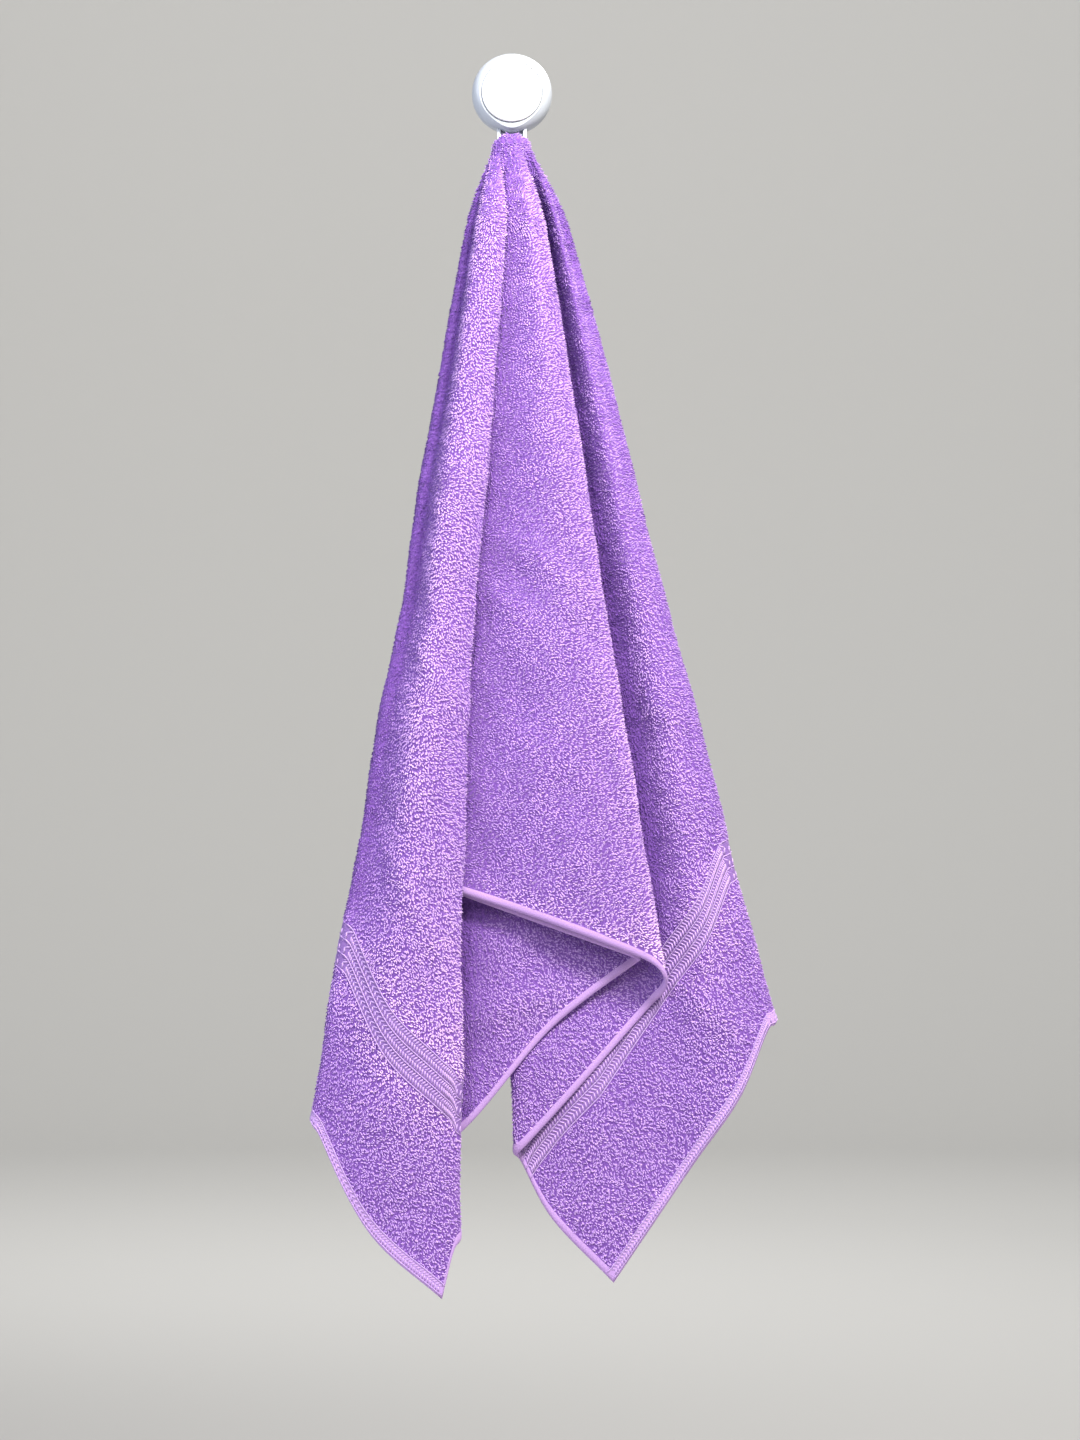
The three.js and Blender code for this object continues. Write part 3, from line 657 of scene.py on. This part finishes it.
def evenPlaces(surface, pitch):
    # Places spread evenly over the hanging surface as fractional row and column numbers: small
    # cells are walked in order, and a place falls in one each time the area passed grows by pitch^2
    fineRows, fineCols = 4, 2
    place = surface["place"]
    wrapped = np.concatenate([place, place[:, :1]], axis=1)
    down = np.diff(wrapped, axis=0)
    onward = np.diff(wrapped, axis=1)
    area = np.linalg.norm(np.cross(down[:, :-1], onward[:-1]), axis=-1)
    area = np.repeat(np.repeat(area / (fineRows * fineCols), fineRows, axis=0), fineCols, axis=1)
    passed = np.floor(np.cumsum(area.ravel()) / pitch ** 2 + random.uniform())
    cell = np.repeat(np.arange(area.size), np.diff(passed, prepend=0).astype(int))
    row = (cell // area.shape[1] + random.uniform(0, 1, len(cell))) / fineRows
    col = (cell % area.shape[1] + random.uniform(0, 1, len(cell))) / fineCols
    return row, col


def gridAt(grid, row, col):
    # The four grid points round a fractional row and column, mixed. The columns close on themselves.
    rowBelow = np.minimum(row.astype(int), grid.shape[0] - 2)
    colBelow = col.astype(int) % grid.shape[1]
    onward = (colBelow + 1) % grid.shape[1]
    shape = (-1,) + (1,) * (grid.ndim - 2)
    shareRow, shareCol = (row - rowBelow).reshape(shape), (col - np.floor(col)).reshape(shape)
    upper = mixed(grid[rowBelow, colBelow], grid[rowBelow, onward], shareCol)
    lower = mixed(grid[rowBelow + 1, colBelow], grid[rowBelow + 1, onward], shareCol)
    return mixed(upper, lower, shareRow)


def smoothedMap(values, passes):
    # Each cell becomes the mean of itself and its neighbours both ways, pass after pass
    for number in range(passes):
        for axis in (0, 1):
            values = (np.roll(values, 1, axis) + values + np.roll(values, -1, axis)) / 3
    return values


def hollowDepth(points, facing, cell=5.0, passes=26):
    # How far each point lies behind the smoothed outermost cloth round it, seen along the way it
    # faces: above 0 in the valleys and under overhangs, below 0 on the crests
    margin = 12
    col = np.floor((points[:, 0] - points[:, 0].min()) / cell).astype(int) + margin
    row = np.floor((points[:, 2] - points[:, 2].min()) / cell).astype(int) + margin
    size = (row.max() + margin + 1, col.max() + margin + 1)
    depth = np.zeros(len(points))
    for way in (1, -1):
        out = -way * points[:, 1]
        outermost = np.full(size, -1e9)
        np.maximum.at(outermost, (row, col), out)
        known = outermost > -1e8
        weight = smoothedMap(known.astype(float), passes)
        mean = smoothedMap(np.where(known, outermost, 0), passes) / np.maximum(weight, 1e-9)
        mine = facing * way > 0
        depth[mine] = (mean[row, col] - out)[mine]
    return np.clip(depth, -12, 16)


def pilePlaces(surface):
    # Where loops stand, spread evenly over both faces but not on the hems and bands: the place on
    # the ground, the normal, the way down the cloth and the flat place. As many are kept as the
    # most, the ones that show from the front first, with how much larger each is drawn.
    half = halfThickness(surface)
    down = unit(np.gradient(surface["place"], axis=0))
    made = []
    for face in (1, -1):
        row, col = evenPlaces(surface, pile["pitch"])
        flatX, flatY = gridAt(surface["flatX"], row, col), gridAt(surface["flatY"], row, col)
        toEnd, toSide = edgeDistances(flatX, flatY)
        kept = (toSide > cloth["sideHem"] + 0.3) & (toEnd > cloth["endHem"] + 0.3)
        kept &= (toEnd < cloth["bandFrom"] - 0.8) | (toEnd > cloth["bandTo"] + 0.8)
        row, col, flatX, flatY = row[kept], col[kept], flatX[kept], flatY[kept]
        normal = unit(face * gridAt(surface["normal"], row, col))
        place = gridAt(surface["place"], row, col) + normal * gridAt(half, row, col)[:, None]
        made.append((place, normal, gridAt(down, row, col), flatX, flatY))
    place, normal, along, flatX, flatY = (np.concatenate(parts) for parts in zip(*made))
    hollow = hollowDepth(place, -normal[:, 1])
    inFront = seenFrom(place, normal, frontLookouts)
    others = np.flatnonzero(seenFrom(place, normal, otherLookouts) & ~inFront)
    print("loops that show from the front:", int(inFront.sum()), "elsewhere:", len(others))
    room = max(0, pile["most"] - int(inFront.sum()))
    if len(others) > room:
        others = random.choice(others, room, replace=False)
    chosen = np.sort(np.concatenate([np.flatnonzero(inFront), others]))[:pile["most"]]
    larger = np.where(inFront, 1, pile["behindLarger"])
    return [values[chosen] for values in (place, normal, along, flatX, flatY, hollow, larger)]


def pileLoops(surface, material):
    # Each loop is a closed tuft of four triangles: a root sunk in the ground, two feet at its widest
    # a little ahead of it, and a raised tip. It points down the cloth, turned by its lean.
    place, normal, along, flatX, flatY, hollow, larger = pilePlaces(surface)
    count = len(place)
    along = unit(along - normal * (along * normal).sum(axis=1, keepdims=True))
    across = np.cross(normal, along)
    onPanel = smooth(*pile["panelLeft"], flatX) * (1 - smooth(*pile["panelRight"], flatX))
    clump = softNoise(flatX, flatY, pile["clump"])
    swing = pile["clumpLean"] * clump + pile["driftLean"] * softNoise(flatX, flatY, pile["drift"])
    lean = mixed(pile["sideLean"], pile["panelLean"], onPanel) + swing
    lean = np.radians(lean + random.normal(0, pile["leanSpread"], count))[:, None]
    forward = along * np.cos(lean) + across * np.sin(lean)
    sideways = np.cross(normal, forward)
    byHook = 1 - smooth(0, pile["hookZone"], np.hypot(flatX, flatY))[:, None]
    larger = larger[:, None]
    long = pile["length"] * random.uniform(0.75, 1.25, (count, 1)) * larger
    long *= mixed(1, pile["hookLonger"], byHook)
    wide = pile["width"] * random.uniform(0.8, 1.2, (count, 1)) * larger / 2
    lift = 1 + pile["liftShare"] * softNoise(flatX, flatY, pile["liftPatch"])[:, None]
    high = pile["height"] * random.uniform(0.75, 1.15, (count, 1)) * lift
    high *= mixed(1, pile["hookHigher"], byHook)
    feet = place + forward * long * 0.12 - normal * 0.05
    tuft = np.stack([
        place - forward * long * 0.45 - normal * pile["sunk"],
        feet + sideways * wide,
        feet - sideways * wide,
        place + forward * long * random.uniform(0.3, 0.5, (count, 1)) + normal * high,
    ], axis=1)
    shape = np.array([[0, 3, 1], [0, 2, 3], [3, 2, 1], [0, 1, 2]])
    tone = random.uniform(-pile["toneSpread"], pile["toneSpread"], count) + pile["clumpTone"] * clump
    # Painted shade in the hollows and under overhangs, and painted light on the crests, by how deep each loop
    # lies
    tone -= pile["hollowTone"] * hollow + pile["deepTone"] * np.maximum(hollow - pile["deepFrom"], 0)
    # Painted light makes the loops paler over the hook, and each loop's tone runs from painted shade at its
    # root to a painted highlight at its tip
    tone = tone[:, None] + pile["hookTone"] * byHook + np.array(pile["tones"])
    loops = []
    for number, part in enumerate(np.array_split(np.argsort(flatX), pile["pieces"])):
        points = tuft[part].reshape(-1, 3) * mm
        faces = (shape[None] + 4 * np.arange(len(part))[:, None, None]).reshape(-1, 3)
        flat = np.repeat(np.stack([flatX[part], flatY[part]], axis=-1), 4, axis=0) * mm
        loops.append(addMesh(f"terry_loops_{number + 1}", points, faces, material, flat=flat,
                             tone=tone[part].ravel(), rounded=False))
    return loops


# The flat woven bands and end hems: raised yarn in rows of chevrons with cords between the rows
weave = {
    "stripes": 3,
    "strokePitch": 3.4,
    "strokeSlant": 2.6,   # how far a stroke runs along the stripe on its way to the middle
    "strokeWidth": 1.7,
    "strokeHeight": 0.6,
    "cordWidth": 1.3,
    "cordHeight": 0.95,
    "cordStep": 3.2,
    "margin": 0.9,        # between a cord and the strokes beside it
}


def raisedRibs(surface, half, starts, ends, face, steps, width, height):
    # Ribs that run straight from start to end on the flat towel: at each step a left foot, a crest
    # at the rib's height over the ground, and a right foot. Long ribs sink at both ends
    t = np.linspace(0, 1, steps)
    flat = starts[:, None, :] + (ends - starts)[:, None, :] * t[None, :, None]
    flatX, flatY = flat[..., 0].ravel(), flat[..., 1].ravel()
    place, normal, thick = surfaceAt(surface, [surface["place"], surface["normal"], half], flatX, flatY)
    normal = face * normal / np.linalg.norm(normal, axis=1, keepdims=True)
    shape = (len(starts), steps, 3)
    place, normal = (place + normal * thick).reshape(shape), normal.reshape(shape)
    along = unit(np.gradient(place, axis=1))
    across = np.cross(normal, along)
    swell = np.where((t > 0) & (t < 1) | (steps == 2), 1, 0.4)[None, :, None]
    ribs = np.stack([
        place - across * width / 2 - normal * 0.15,
        place + normal * height * swell,
        place + across * width / 2 - normal * 0.15,
    ], axis=2)
    base = 3 * (steps * np.arange(len(starts))[:, None] + np.arange(steps - 1)[None, :])[..., None]
    quads = [(0, 1, 4, 3), (1, 2, 5, 4), (2, 0, 3, 5)]
    faces = [base + np.array([[a, b, c], [a, c, d]]).reshape(1, 1, 6) for a, b, c, d in quads]
    faces = np.stack(faces, axis=2).reshape(-1, 3)
    first = 3 * steps * np.arange(len(starts))[:, None]
    last = first + 3 * (steps - 1)
    caps = np.vstack([first + np.array([[0, 2, 1]]), last + np.array([[0, 1, 2]])])
    flats = np.repeat(np.stack([flatX, flatY], axis=-1), 3, axis=0)
    return ribs.reshape(-1, 3), np.vstack([faces, caps]), flats


def wovenBands(surface, material):
    # Both ends of both faces: the band's stripes and the end hem's one stripe, each a row of
    # chevrons, and the cords along their edges
    half = halfThickness(surface)[..., None]
    stripe = (cloth["bandTo"] - cloth["bandFrom"]) / weave["stripes"]
    rows = [(cloth["bandFrom"] + i * stripe, cloth["bandFrom"] + (i + 1) * stripe)
            for i in range(weave["stripes"])]
    rows.append((1.6, cloth["endHem"] - 0.6))
    marks = sorted({edge for row in rows for edge in row})
    margin = weave["margin"]
    strokeY = np.arange(cloth["frontFlat"] + cloth["sideHem"] + 1, cloth["backFlat"] - cloth["sideHem"] - 3,
                        weave["strokePitch"])
    points, faces, flats, total = [], [], [], 0
    for edge, inward in ((cloth["leftFlat"], 1), (cloth["rightFlat"], -1)):
        for face in (1, -1):
            strokes = []
            for low, high in rows:
                for side in (low + margin, high - margin):
                    starts = np.stack([edge + inward * side + 0 * strokeY, strokeY], axis=-1)
                    ends = np.stack([edge + inward * (low + high) / 2 + 0 * strokeY,
                                     strokeY + weave["strokeSlant"]], axis=-1)
                    strokes.append((starts, ends))
            starts, ends = (np.vstack([pair[i] for pair in strokes]) for i in (0, 1))
            made = [raisedRibs(surface, half, starts, ends, face, 2, weave["strokeWidth"],
                               weave["strokeHeight"])]
            cordX = edge + inward * np.array(marks)
            starts = np.stack([cordX, 0 * cordX + cloth["frontFlat"] + 1.5], axis=-1)
            ends = np.stack([cordX, 0 * cordX + cloth["backFlat"] - 1.5], axis=-1)
            steps = int((cloth["backFlat"] - cloth["frontFlat"]) / weave["cordStep"])
            made.append(raisedRibs(surface, half, starts, ends, face, steps, weave["cordWidth"],
                                   weave["cordHeight"]))
            for ribPoints, ribFaces, ribFlats in made:
                points.append(ribPoints)
                faces.append(ribFaces + total)
                flats.append(ribFlats)
                total += len(ribPoints)
    return addMesh("woven_bands", np.vstack(points) * mm, np.vstack(faces), material,
                   flat=np.vstack(flats) * mm)


def terryGroundMaterial():
    # Cotton ground weave, piece dyed lilac: matt, with painted shade making it deep between the
    # loops, paler and smoother where the bands and hems lie bare
    material, tree = newMaterial("lilac_terry_ground")
    flat = addNode(tree, "ShaderNodeUVMap", {"uv_map": "flat"})
    split = addNode(tree, "ShaderNodeSeparateXYZ", None, {0: flat})
    # How far in from the nearest end and from the nearest long side
    nearest = []
    for axis, low, high in ((0, "leftFlat", "rightFlat"), (1, "frontFlat", "backFlat")):
        place = split.outputs[axis]
        fromLow = addNode(tree, "ShaderNodeMath", {"operation": "SUBTRACT"}, {0: place, 1: cloth[low] * mm})
        fromHigh = addNode(tree, "ShaderNodeMath", {"operation": "SUBTRACT"}, {0: cloth[high] * mm, 1: place})
        nearest.append(addNode(tree, "ShaderNodeMath", {"operation": "MINIMUM"}, {0: fromLow, 1: fromHigh}))
    toEnd, toSide = nearest
    bandMiddle = (cloth["bandTo"] + cloth["bandFrom"]) / 2
    bandHalf = (cloth["bandTo"] - cloth["bandFrom"]) / 2
    inBand = addNode(tree, "ShaderNodeMath", {"operation": "COMPARE"},
                     {0: toEnd, 1: bandMiddle * mm, 2: bandHalf * mm})
    inEndHem = addNode(tree, "ShaderNodeMath", {"operation": "LESS_THAN"},
                       {0: toEnd, 1: cloth["endHem"] * mm})
    inSideHem = addNode(tree, "ShaderNodeMath", {"operation": "LESS_THAN"},
                        {0: toSide, 1: cloth["sideHem"] * mm})
    inHem = addNode(tree, "ShaderNodeMath", {"operation": "MAXIMUM"}, {0: inEndHem, 1: inSideHem})
    bare = addNode(tree, "ShaderNodeMath", {"operation": "MAXIMUM"}, {0: inBand, 1: inHem})
    # Threads 0.5 mm apart, drawn at 1.1 mm to show, and the rows of loop roots about 2 mm apart
    thread = addNode(tree, "ShaderNodeTexNoise", {"noise_dimensions": "2D"},
                     {"Vector": flat, "Scale": 900.0, "Detail": 2.0})
    roots = addNode(tree, "ShaderNodeTexVoronoi", {"voronoi_dimensions": "2D", "feature": "F1"},
                    {"Vector": flat, "Scale": 500.0})
    height = addNode(tree, "ShaderNodeMix", {"data_type": "FLOAT"}, {0: bare, 2: roots, 3: thread})
    bump = addNode(tree, "ShaderNodeBump", None, {"Strength": 0.6, "Distance": 0.0005, "Height": height})
    # Painted shade: the ground under the loops is coloured deep, darkest at each loop root
    shaded, smoothWeave, inHemColour = (
        addNode(tree, "ShaderNodeMix", {"data_type": "RGBA"}, {0: share, 6: linear(deep), 7: linear(pale)})
        for share, deep, pale in ((roots, "#643F94", "#8C62B8"), (thread, "#6F4E98", "#9474B6"),
                                  (thread, "#A27CC6", "#CCA9E0")))
    bareColour = addNode(tree, "ShaderNodeMix", {"data_type": "RGBA"},
                         {0: inHem, 6: smoothWeave, 7: inHemColour})
    colour = addNode(tree, "ShaderNodeMix", {"data_type": "RGBA"},
                     {0: bare, 6: shaded, 7: bareColour})
    shader = addNode(tree, "ShaderNodeBsdfPrincipled", None, {
        "Base Color": colour, "Roughness": 0.92, "Sheen Weight": 0.15, "Sheen Roughness": 0.5,
        "IOR": 1.45, "Specular IOR Level": 0.2, "Normal": bump})
    addNode(tree, "ShaderNodeOutputMaterial", None, {"Surface": shader})
    return material


def terryLoopMaterial():
    # Cotton loop yarn dyed lilac: matt and a little fuzzy, with painted shade at the roots and a painted
    # highlight on the tips
    material, tree = newMaterial("lilac_terry_loops")
    tone = addNode(tree, "ShaderNodeAttribute", {"attribute_name": "tone"})
    # The ramp runs from painted shade at tone 0 to a painted highlight at tone 1
    ramp = addNode(tree, "ShaderNodeValToRGB", None, {0: tone.outputs["Fac"]})
    ramp.color_ramp.elements[0].color = linear("#70489E")
    ramp.color_ramp.elements[1].color = linear("#EFCFF2")
    middle = ramp.color_ramp.elements.new(0.5)
    middle.color = linear("#BD98DF")
    shader = addNode(tree, "ShaderNodeBsdfPrincipled", None, {
        "Base Color": ramp, "Roughness": 0.9, "Sheen Weight": 0.2, "Sheen Roughness": 0.45,
        "IOR": 1.45, "Specular IOR Level": 0.25})
    addNode(tree, "ShaderNodeOutputMaterial", None, {"Surface": shader})
    return material


def flatYarnMaterial():
    # Mercerised cotton yarn of the bands, dyed lilac: smoother and paler than the loops, with a soft gleam
    material, tree = newMaterial("lilac_flat_yarn")
    flat = addNode(tree, "ShaderNodeUVMap", {"uv_map": "flat"})
    # Plies 0.4 mm wide, drawn at 1 mm to show
    plies = addNode(tree, "ShaderNodeTexNoise", {"noise_dimensions": "2D"},
                    {"Vector": flat, "Scale": 1000.0, "Detail": 1.0})
    bump = addNode(tree, "ShaderNodeBump", None, {"Strength": 0.5, "Distance": 0.0003, "Height": plies})
    colour = addNode(tree, "ShaderNodeMix", {"data_type": "RGBA"},
                     {0: plies, 6: linear("#A682C8"), 7: linear("#D0B2E6")})
    shader = addNode(tree, "ShaderNodeBsdfPrincipled", None, {
        "Base Color": colour, "Roughness": 0.7, "Sheen Weight": 0.15, "Sheen Roughness": 0.4,
        "IOR": 1.45, "Specular IOR Level": 0.35, "Normal": bump})
    addNode(tree, "ShaderNodeOutputMaterial", None, {"Surface": shader})
    return material


def mouldedPlasticMaterial(name, colour, roughness):
    # Injection moulded white ABS: glossy, with a very faint ripple left by the mould
    material, tree = newMaterial(name)
    place = addNode(tree, "ShaderNodeTexCoord")
    ripple = addNode(tree, "ShaderNodeTexNoise", None,
                     {"Vector": place.outputs["Object"], "Scale": 220.0, "Detail": 2.0})
    bump = addNode(tree, "ShaderNodeBump", None,
                   {"Strength": 0.05, "Distance": 0.0004, "Height": ripple})
    shader = addNode(tree, "ShaderNodeBsdfPrincipled", None, {
        "Base Color": linear(colour), "Roughness": roughness, "IOR": 1.54, "Normal": bump})
    addNode(tree, "ShaderNodeOutputMaterial", None, {"Surface": shader})
    return material


# The hook: a round housing with a front button, a strap between two rails, and an upturned finger
hook = {
    "segments": 144,
    # The housing's side as radius and distance from the wall, from its back to the floor of the recess
    "housing": [(0, 0), (30.6, 0), (31.7, 0.5), (32, 1.8), (32, 7.5), (31.6, 11.5), (30.3, 15.4),
                (28.2, 18.6), (26.5, 20.2), (25.9, 20.9), (25.0, 21), (24.45, 20.8), (24.3, 20.2),
                (24.3, 18.1), (0, 18.1)],
    "pointGrow": 2.6,          # how far the rim swells to its blunt point at the bottom
    "pointSpread": 24,         # degrees
    "pointOut": (10, 20.5),    # the swelling comes in between these distances from the wall
    "pointRim": (24.6, 25.4),  # and between these radii
    "pointMost": 31.6,         # and takes nothing past this radius
    "button": [(0, 18.4), (23.2, 18.4), (23.95, 18.9), (24, 19.8), (24, 21.6), (23.4, 22.7), (22.1, 23.2),
               (18, 23.4), (9, 23.55), (0, 23.6)],
    "strapHalf": 11.8,
    "strapBack": 9,
    "strapThick": 3.5,
    "strapTop": -26,
    "strapEnd": -57,
    "railHalf": 1.5,
    "railProud": 3,
    "fingerHalf": 6,
    "fingerTop": -36.15,
    "bendZ": -64,
    "mouth": 15.5,
}


def cornersCut(profile, rounds):
    # Corner cutting: each piece of the line gives its points at 1/4 and 3/4, keeping both ends
    line = np.array(profile, dtype=float)
    for number in range(rounds):
        pairs = np.stack([mixed(line[:-1], line[1:], 0.25), mixed(line[:-1], line[1:], 0.75)], axis=1)
        line = np.vstack([line[:1], pairs.reshape(-1, 2), line[-1:]])
    return line


def turnedPiece(name, profile, grow, material):
    # The profile turned about the hook's axis: (r sin a, -out, r cos a). The rim's part of it grows
    # by grow times exp(-(angle from straight down / spread)^2), most at the rim and none at the back.
    line = cornersCut(profile, 2)[1:-1]
    radius, out = line[:, 0], line[:, 1]
    angle = np.linspace(0, 2 * math.pi, hook["segments"], endpoint=False)
    fromDown = np.degrees(np.abs(angle - math.pi))
    bump = grow * np.exp(-(fromDown / hook["pointSpread"]) ** 2)
    rimShare = smooth(*hook["pointOut"], out) * smooth(*hook["pointRim"], radius)
    most = np.maximum(radius[:, None], hook["pointMost"])
    grown = np.minimum(radius[:, None] + rimShare[:, None] * bump, most)
    points = np.stack([grown * np.sin(angle), -out[:, None] + 0 * grown, grown * np.cos(angle)], axis=-1)
    return closedPiece(name, points, np.array([[0, -out[0], 0], [0, -out[-1], 0]]), material)


def barPiece(name, path, halfWide, halfThick, centreX, material):
    # A bar along a path of (out, z): its section is x = w |cos a|^0.3, across = t |sin a|^0.3, each
    # with its sign, and its two ends close to a point
    sides = 32
    angle = np.linspace(0, 2 * math.pi, sides, endpoint=False)
    sectionX = np.sign(np.cos(angle)) * np.abs(np.cos(angle)) ** 0.3
    sectionY = np.sign(np.sin(angle)) * np.abs(np.sin(angle)) ** 0.3
    along = np.gradient(path, axis=0)
    along /= np.linalg.norm(along, axis=1, keepdims=True)
    side = np.stack([along[:, 1], -along[:, 0]], axis=1)
    out = path[:, 0, None] + side[:, 0, None] * halfThick[:, None] * sectionY
    z = path[:, 1, None] + side[:, 1, None] * halfThick[:, None] * sectionY
    points = np.stack([centreX + halfWide[:, None] * sectionX, -out, z], axis=-1)
    ends = np.array([[centreX, -path[0, 0], path[0, 1]], [centreX, -path[-1, 0], path[-1, 1]]])
    return closedPiece(name, points, ends, material)


def straightBar(name, fromZ, toZ, out, halfWide, halfThick, centreX, material):
    # A level-sided bar straight down, its last 0.6 mm at each end drawn in as an ellipse
    edge = 0.6
    turn = np.linspace(0, math.pi / 2, 5)
    z = np.concatenate([fromZ - edge * (1 - np.sin(turn)), [mixed(fromZ, toZ, 0.5)],
                        toZ + edge * (1 - np.sin(turn[::-1]))])
    inset = np.concatenate([edge * (1 - np.cos(turn[::-1])), [0], edge * (1 - np.cos(turn))])
    path = np.stack([out + 0 * z, z], axis=1)
    return barPiece(name, path, halfWide - inset, halfThick - inset, centreX, material)


def hookFinger(material):
    # Down inside the strap, round the bend as a half circle, and up to the finger's round tip
    half = hook["strapThick"] / 2
    back = hook["strapBack"] + half
    radius = (hook["mouth"] + hook["strapThick"]) / 2
    bend = np.linspace(math.pi, 2 * math.pi, 25)
    tip = np.linspace(0, math.pi / 2, 13)
    tipZ = hook["fingerTop"] - hook["fingerHalf"] * (1 - np.sin(tip))
    downZ = np.linspace(hook["strapTop"] - 6, hook["bendZ"] + 2, 5)
    upZ = np.linspace(hook["bendZ"] + 2, tipZ[0] - 2, 5)
    path = np.concatenate([
        np.stack([back + 0 * downZ, downZ], axis=1),
        np.stack([back + radius + radius * np.cos(bend), hook["bendZ"] + radius * np.sin(bend)], axis=1),
        np.stack([back + 2 * radius + 0 * upZ, upZ], axis=1),
        np.stack([back + 2 * radius + 0 * tipZ, tipZ], axis=1),
    ])
    plain = len(path) - len(tip)
    halfWide = np.concatenate([np.full(plain, hook["fingerHalf"]), hook["fingerHalf"] * np.cos(tip) + 0.05])
    halfThick = np.concatenate([np.full(plain, half), half * np.cos(tip) ** 0.4 + 0.02])
    return barPiece("hook_finger", path, halfWide, halfThick, 0, material)


def stageMaterial():
    # Matt pale studio paper
    material, tree = newMaterial("studio_paper")
    shader = addNode(tree, "ShaderNodeBsdfPrincipled", None,
                     {"Base Color": linear("#C2C1BE"), "Roughness": 0.95})
    addNode(tree, "ShaderNodeOutputMaterial", None, {"Surface": shader})
    return material


# The studio: a round floor that curves up into a wall, in metres
studio = {"floorZ": -1.4, "flatRadius": 6.5, "bend": 2.0, "top": 5.0, "segments": 96}


def studioShell(material):
    # The profile, flat then a quarter circle then straight up, turned about the vertical axis
    bendAngles = np.linspace(0, math.pi / 2, 16)
    radius = np.concatenate([[0.01], [studio["flatRadius"]],
                             studio["flatRadius"] + studio["bend"] * np.sin(bendAngles[1:]),
                             [studio["flatRadius"] + studio["bend"]]])
    height = np.concatenate([[0], [0], studio["bend"] * (1 - np.cos(bendAngles[1:])),
                             [studio["top"]]]) + studio["floorZ"]
    angle = np.linspace(0, 2 * math.pi, studio["segments"], endpoint=False)
    points = np.stack([radius[:, None] * np.cos(angle), radius[:, None] * np.sin(angle),
                       height[:, None] + 0 * angle], axis=-1).reshape(-1, 3)
    faces = ringFaces(len(radius), studio["segments"], turned=True)
    return addMesh("studio_floor", points, faces, material)


def addLight(name, place, target, size, power, colour):
    # A square area light at a place, turned to face its target
    light = bpy.data.lights.new(name, "AREA")
    light.size = size
    light.energy = power
    light.color = linear(colour)[:3]
    lamp = bpy.data.objects.new(name, light)
    lamp.location = place
    lamp.rotation_euler = (Vector(target) - Vector(place)).to_track_quat("-Z", "Y").to_euler()
    bpy.context.scene.collection.objects.link(lamp)
    return lamp


# The camera: level, far enough for nearly parallel lines of sight, aimed at the picture's middle
view = {"distance": 4.0, "x": 0.0224, "z": -0.5, "pictureHeight": 1.152, "sensor": 36}


def addCamera():
    # The lens that makes the picture's height fill the sensor: sensor times distance over height
    camera = bpy.data.cameras.new("camera")
    camera.sensor_fit = "VERTICAL"
    camera.sensor_height = view["sensor"]
    camera.lens = view["sensor"] * view["distance"] / view["pictureHeight"]
    camera.clip_end = 60
    holder = bpy.data.objects.new("camera", camera)
    holder.location = (view["x"], -view["distance"], view["z"])
    holder.rotation_euler = (math.pi / 2, 0, 0)
    bpy.context.scene.collection.objects.link(holder)
    bpy.context.scene.camera = holder


print("camera and studio")
addCamera()
studioShell(stageMaterial())
addLight("key_light", (0.8, -1.35, 1.25), (0, 0, -0.35), 0.5, 112, "#FFF9F2")
addLight("front_light", (-0.7, -2.1, 1.4), (0, 0, -0.25), 0.9, 40, "#FFFFFF")
addLight("left_light", (-2.6, -0.8, 0.3), (0, 0, -0.45), 1.6, 42, "#DDE6FF")
addLight("backdrop_light", (0, 3.5, 2.2), (0, 8.5, 0.4), 3.0, 190, "#FFFFFF")
addLight("back_light", (1.3, 2.4, 1.4), (0, 0, -0.5), 1.0, 60, "#FFFFFF")
world = bpy.data.worlds.new("studio_air")
world.use_nodes = True
background = world.node_tree.nodes["Background"]
background.inputs[0].default_value = linear("#F4F6FA")
background.inputs[1].default_value = 0.21
bpy.context.scene.world = world
bpy.context.scene.view_settings.view_transform = "Standard"

print("towel")
surface = towelSurface()
groundCloth = terryGroundMaterial()
loopYarn = terryLoopMaterial()
towelSheet = towelShell(surface, groundCloth)
print("loops")
loops = pileLoops(surface, loopYarn)
print("woven bands")
bands = wovenBands(surface, flatYarnMaterial())
for piece in [towelSheet, bands, *loops]:
    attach(piece, "root")
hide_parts("towel")

print("hook")
# The housing, strap, rails and finger are the button's white plastic, coloured grey as painted shade
shadedBodyPlastic = mouldedPlasticMaterial("white_moulded_plastic", "#B7BEC7", 0.3)
buttonPlastic = mouldedPlasticMaterial("white_moulded_button", "#F6F7F8", 0.24)
housing = turnedPiece("hook_housing", hook["housing"], hook["pointGrow"], shadedBodyPlastic)
button = turnedPiece("hook_front_button", hook["button"], 0, buttonPlastic)
strapOut = hook["strapBack"] + hook["strapThick"] / 2
railOut = hook["strapBack"] + (hook["strapThick"] + hook["railProud"]) / 2
railX = hook["strapHalf"] - hook["railHalf"]
railHalfThick = (hook["strapThick"] + hook["railProud"]) / 2
ends = (hook["strapTop"], hook["strapEnd"])
strap = straightBar("hook_strap", *ends, strapOut, hook["strapHalf"] - 0.2, hook["strapThick"] / 2, 0,
                    shadedBodyPlastic)
rails = [straightBar("hook_rail_" + side, *ends, railOut, hook["railHalf"], railHalfThick, x, shadedBodyPlastic)
         for side, x in (("left", -railX), ("right", railX))]
finger = hookFinger(shadedBodyPlastic)
for piece in [housing, button, strap, *rails, finger]:
    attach(piece, "root")
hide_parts("hook_body")
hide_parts("hook_button")
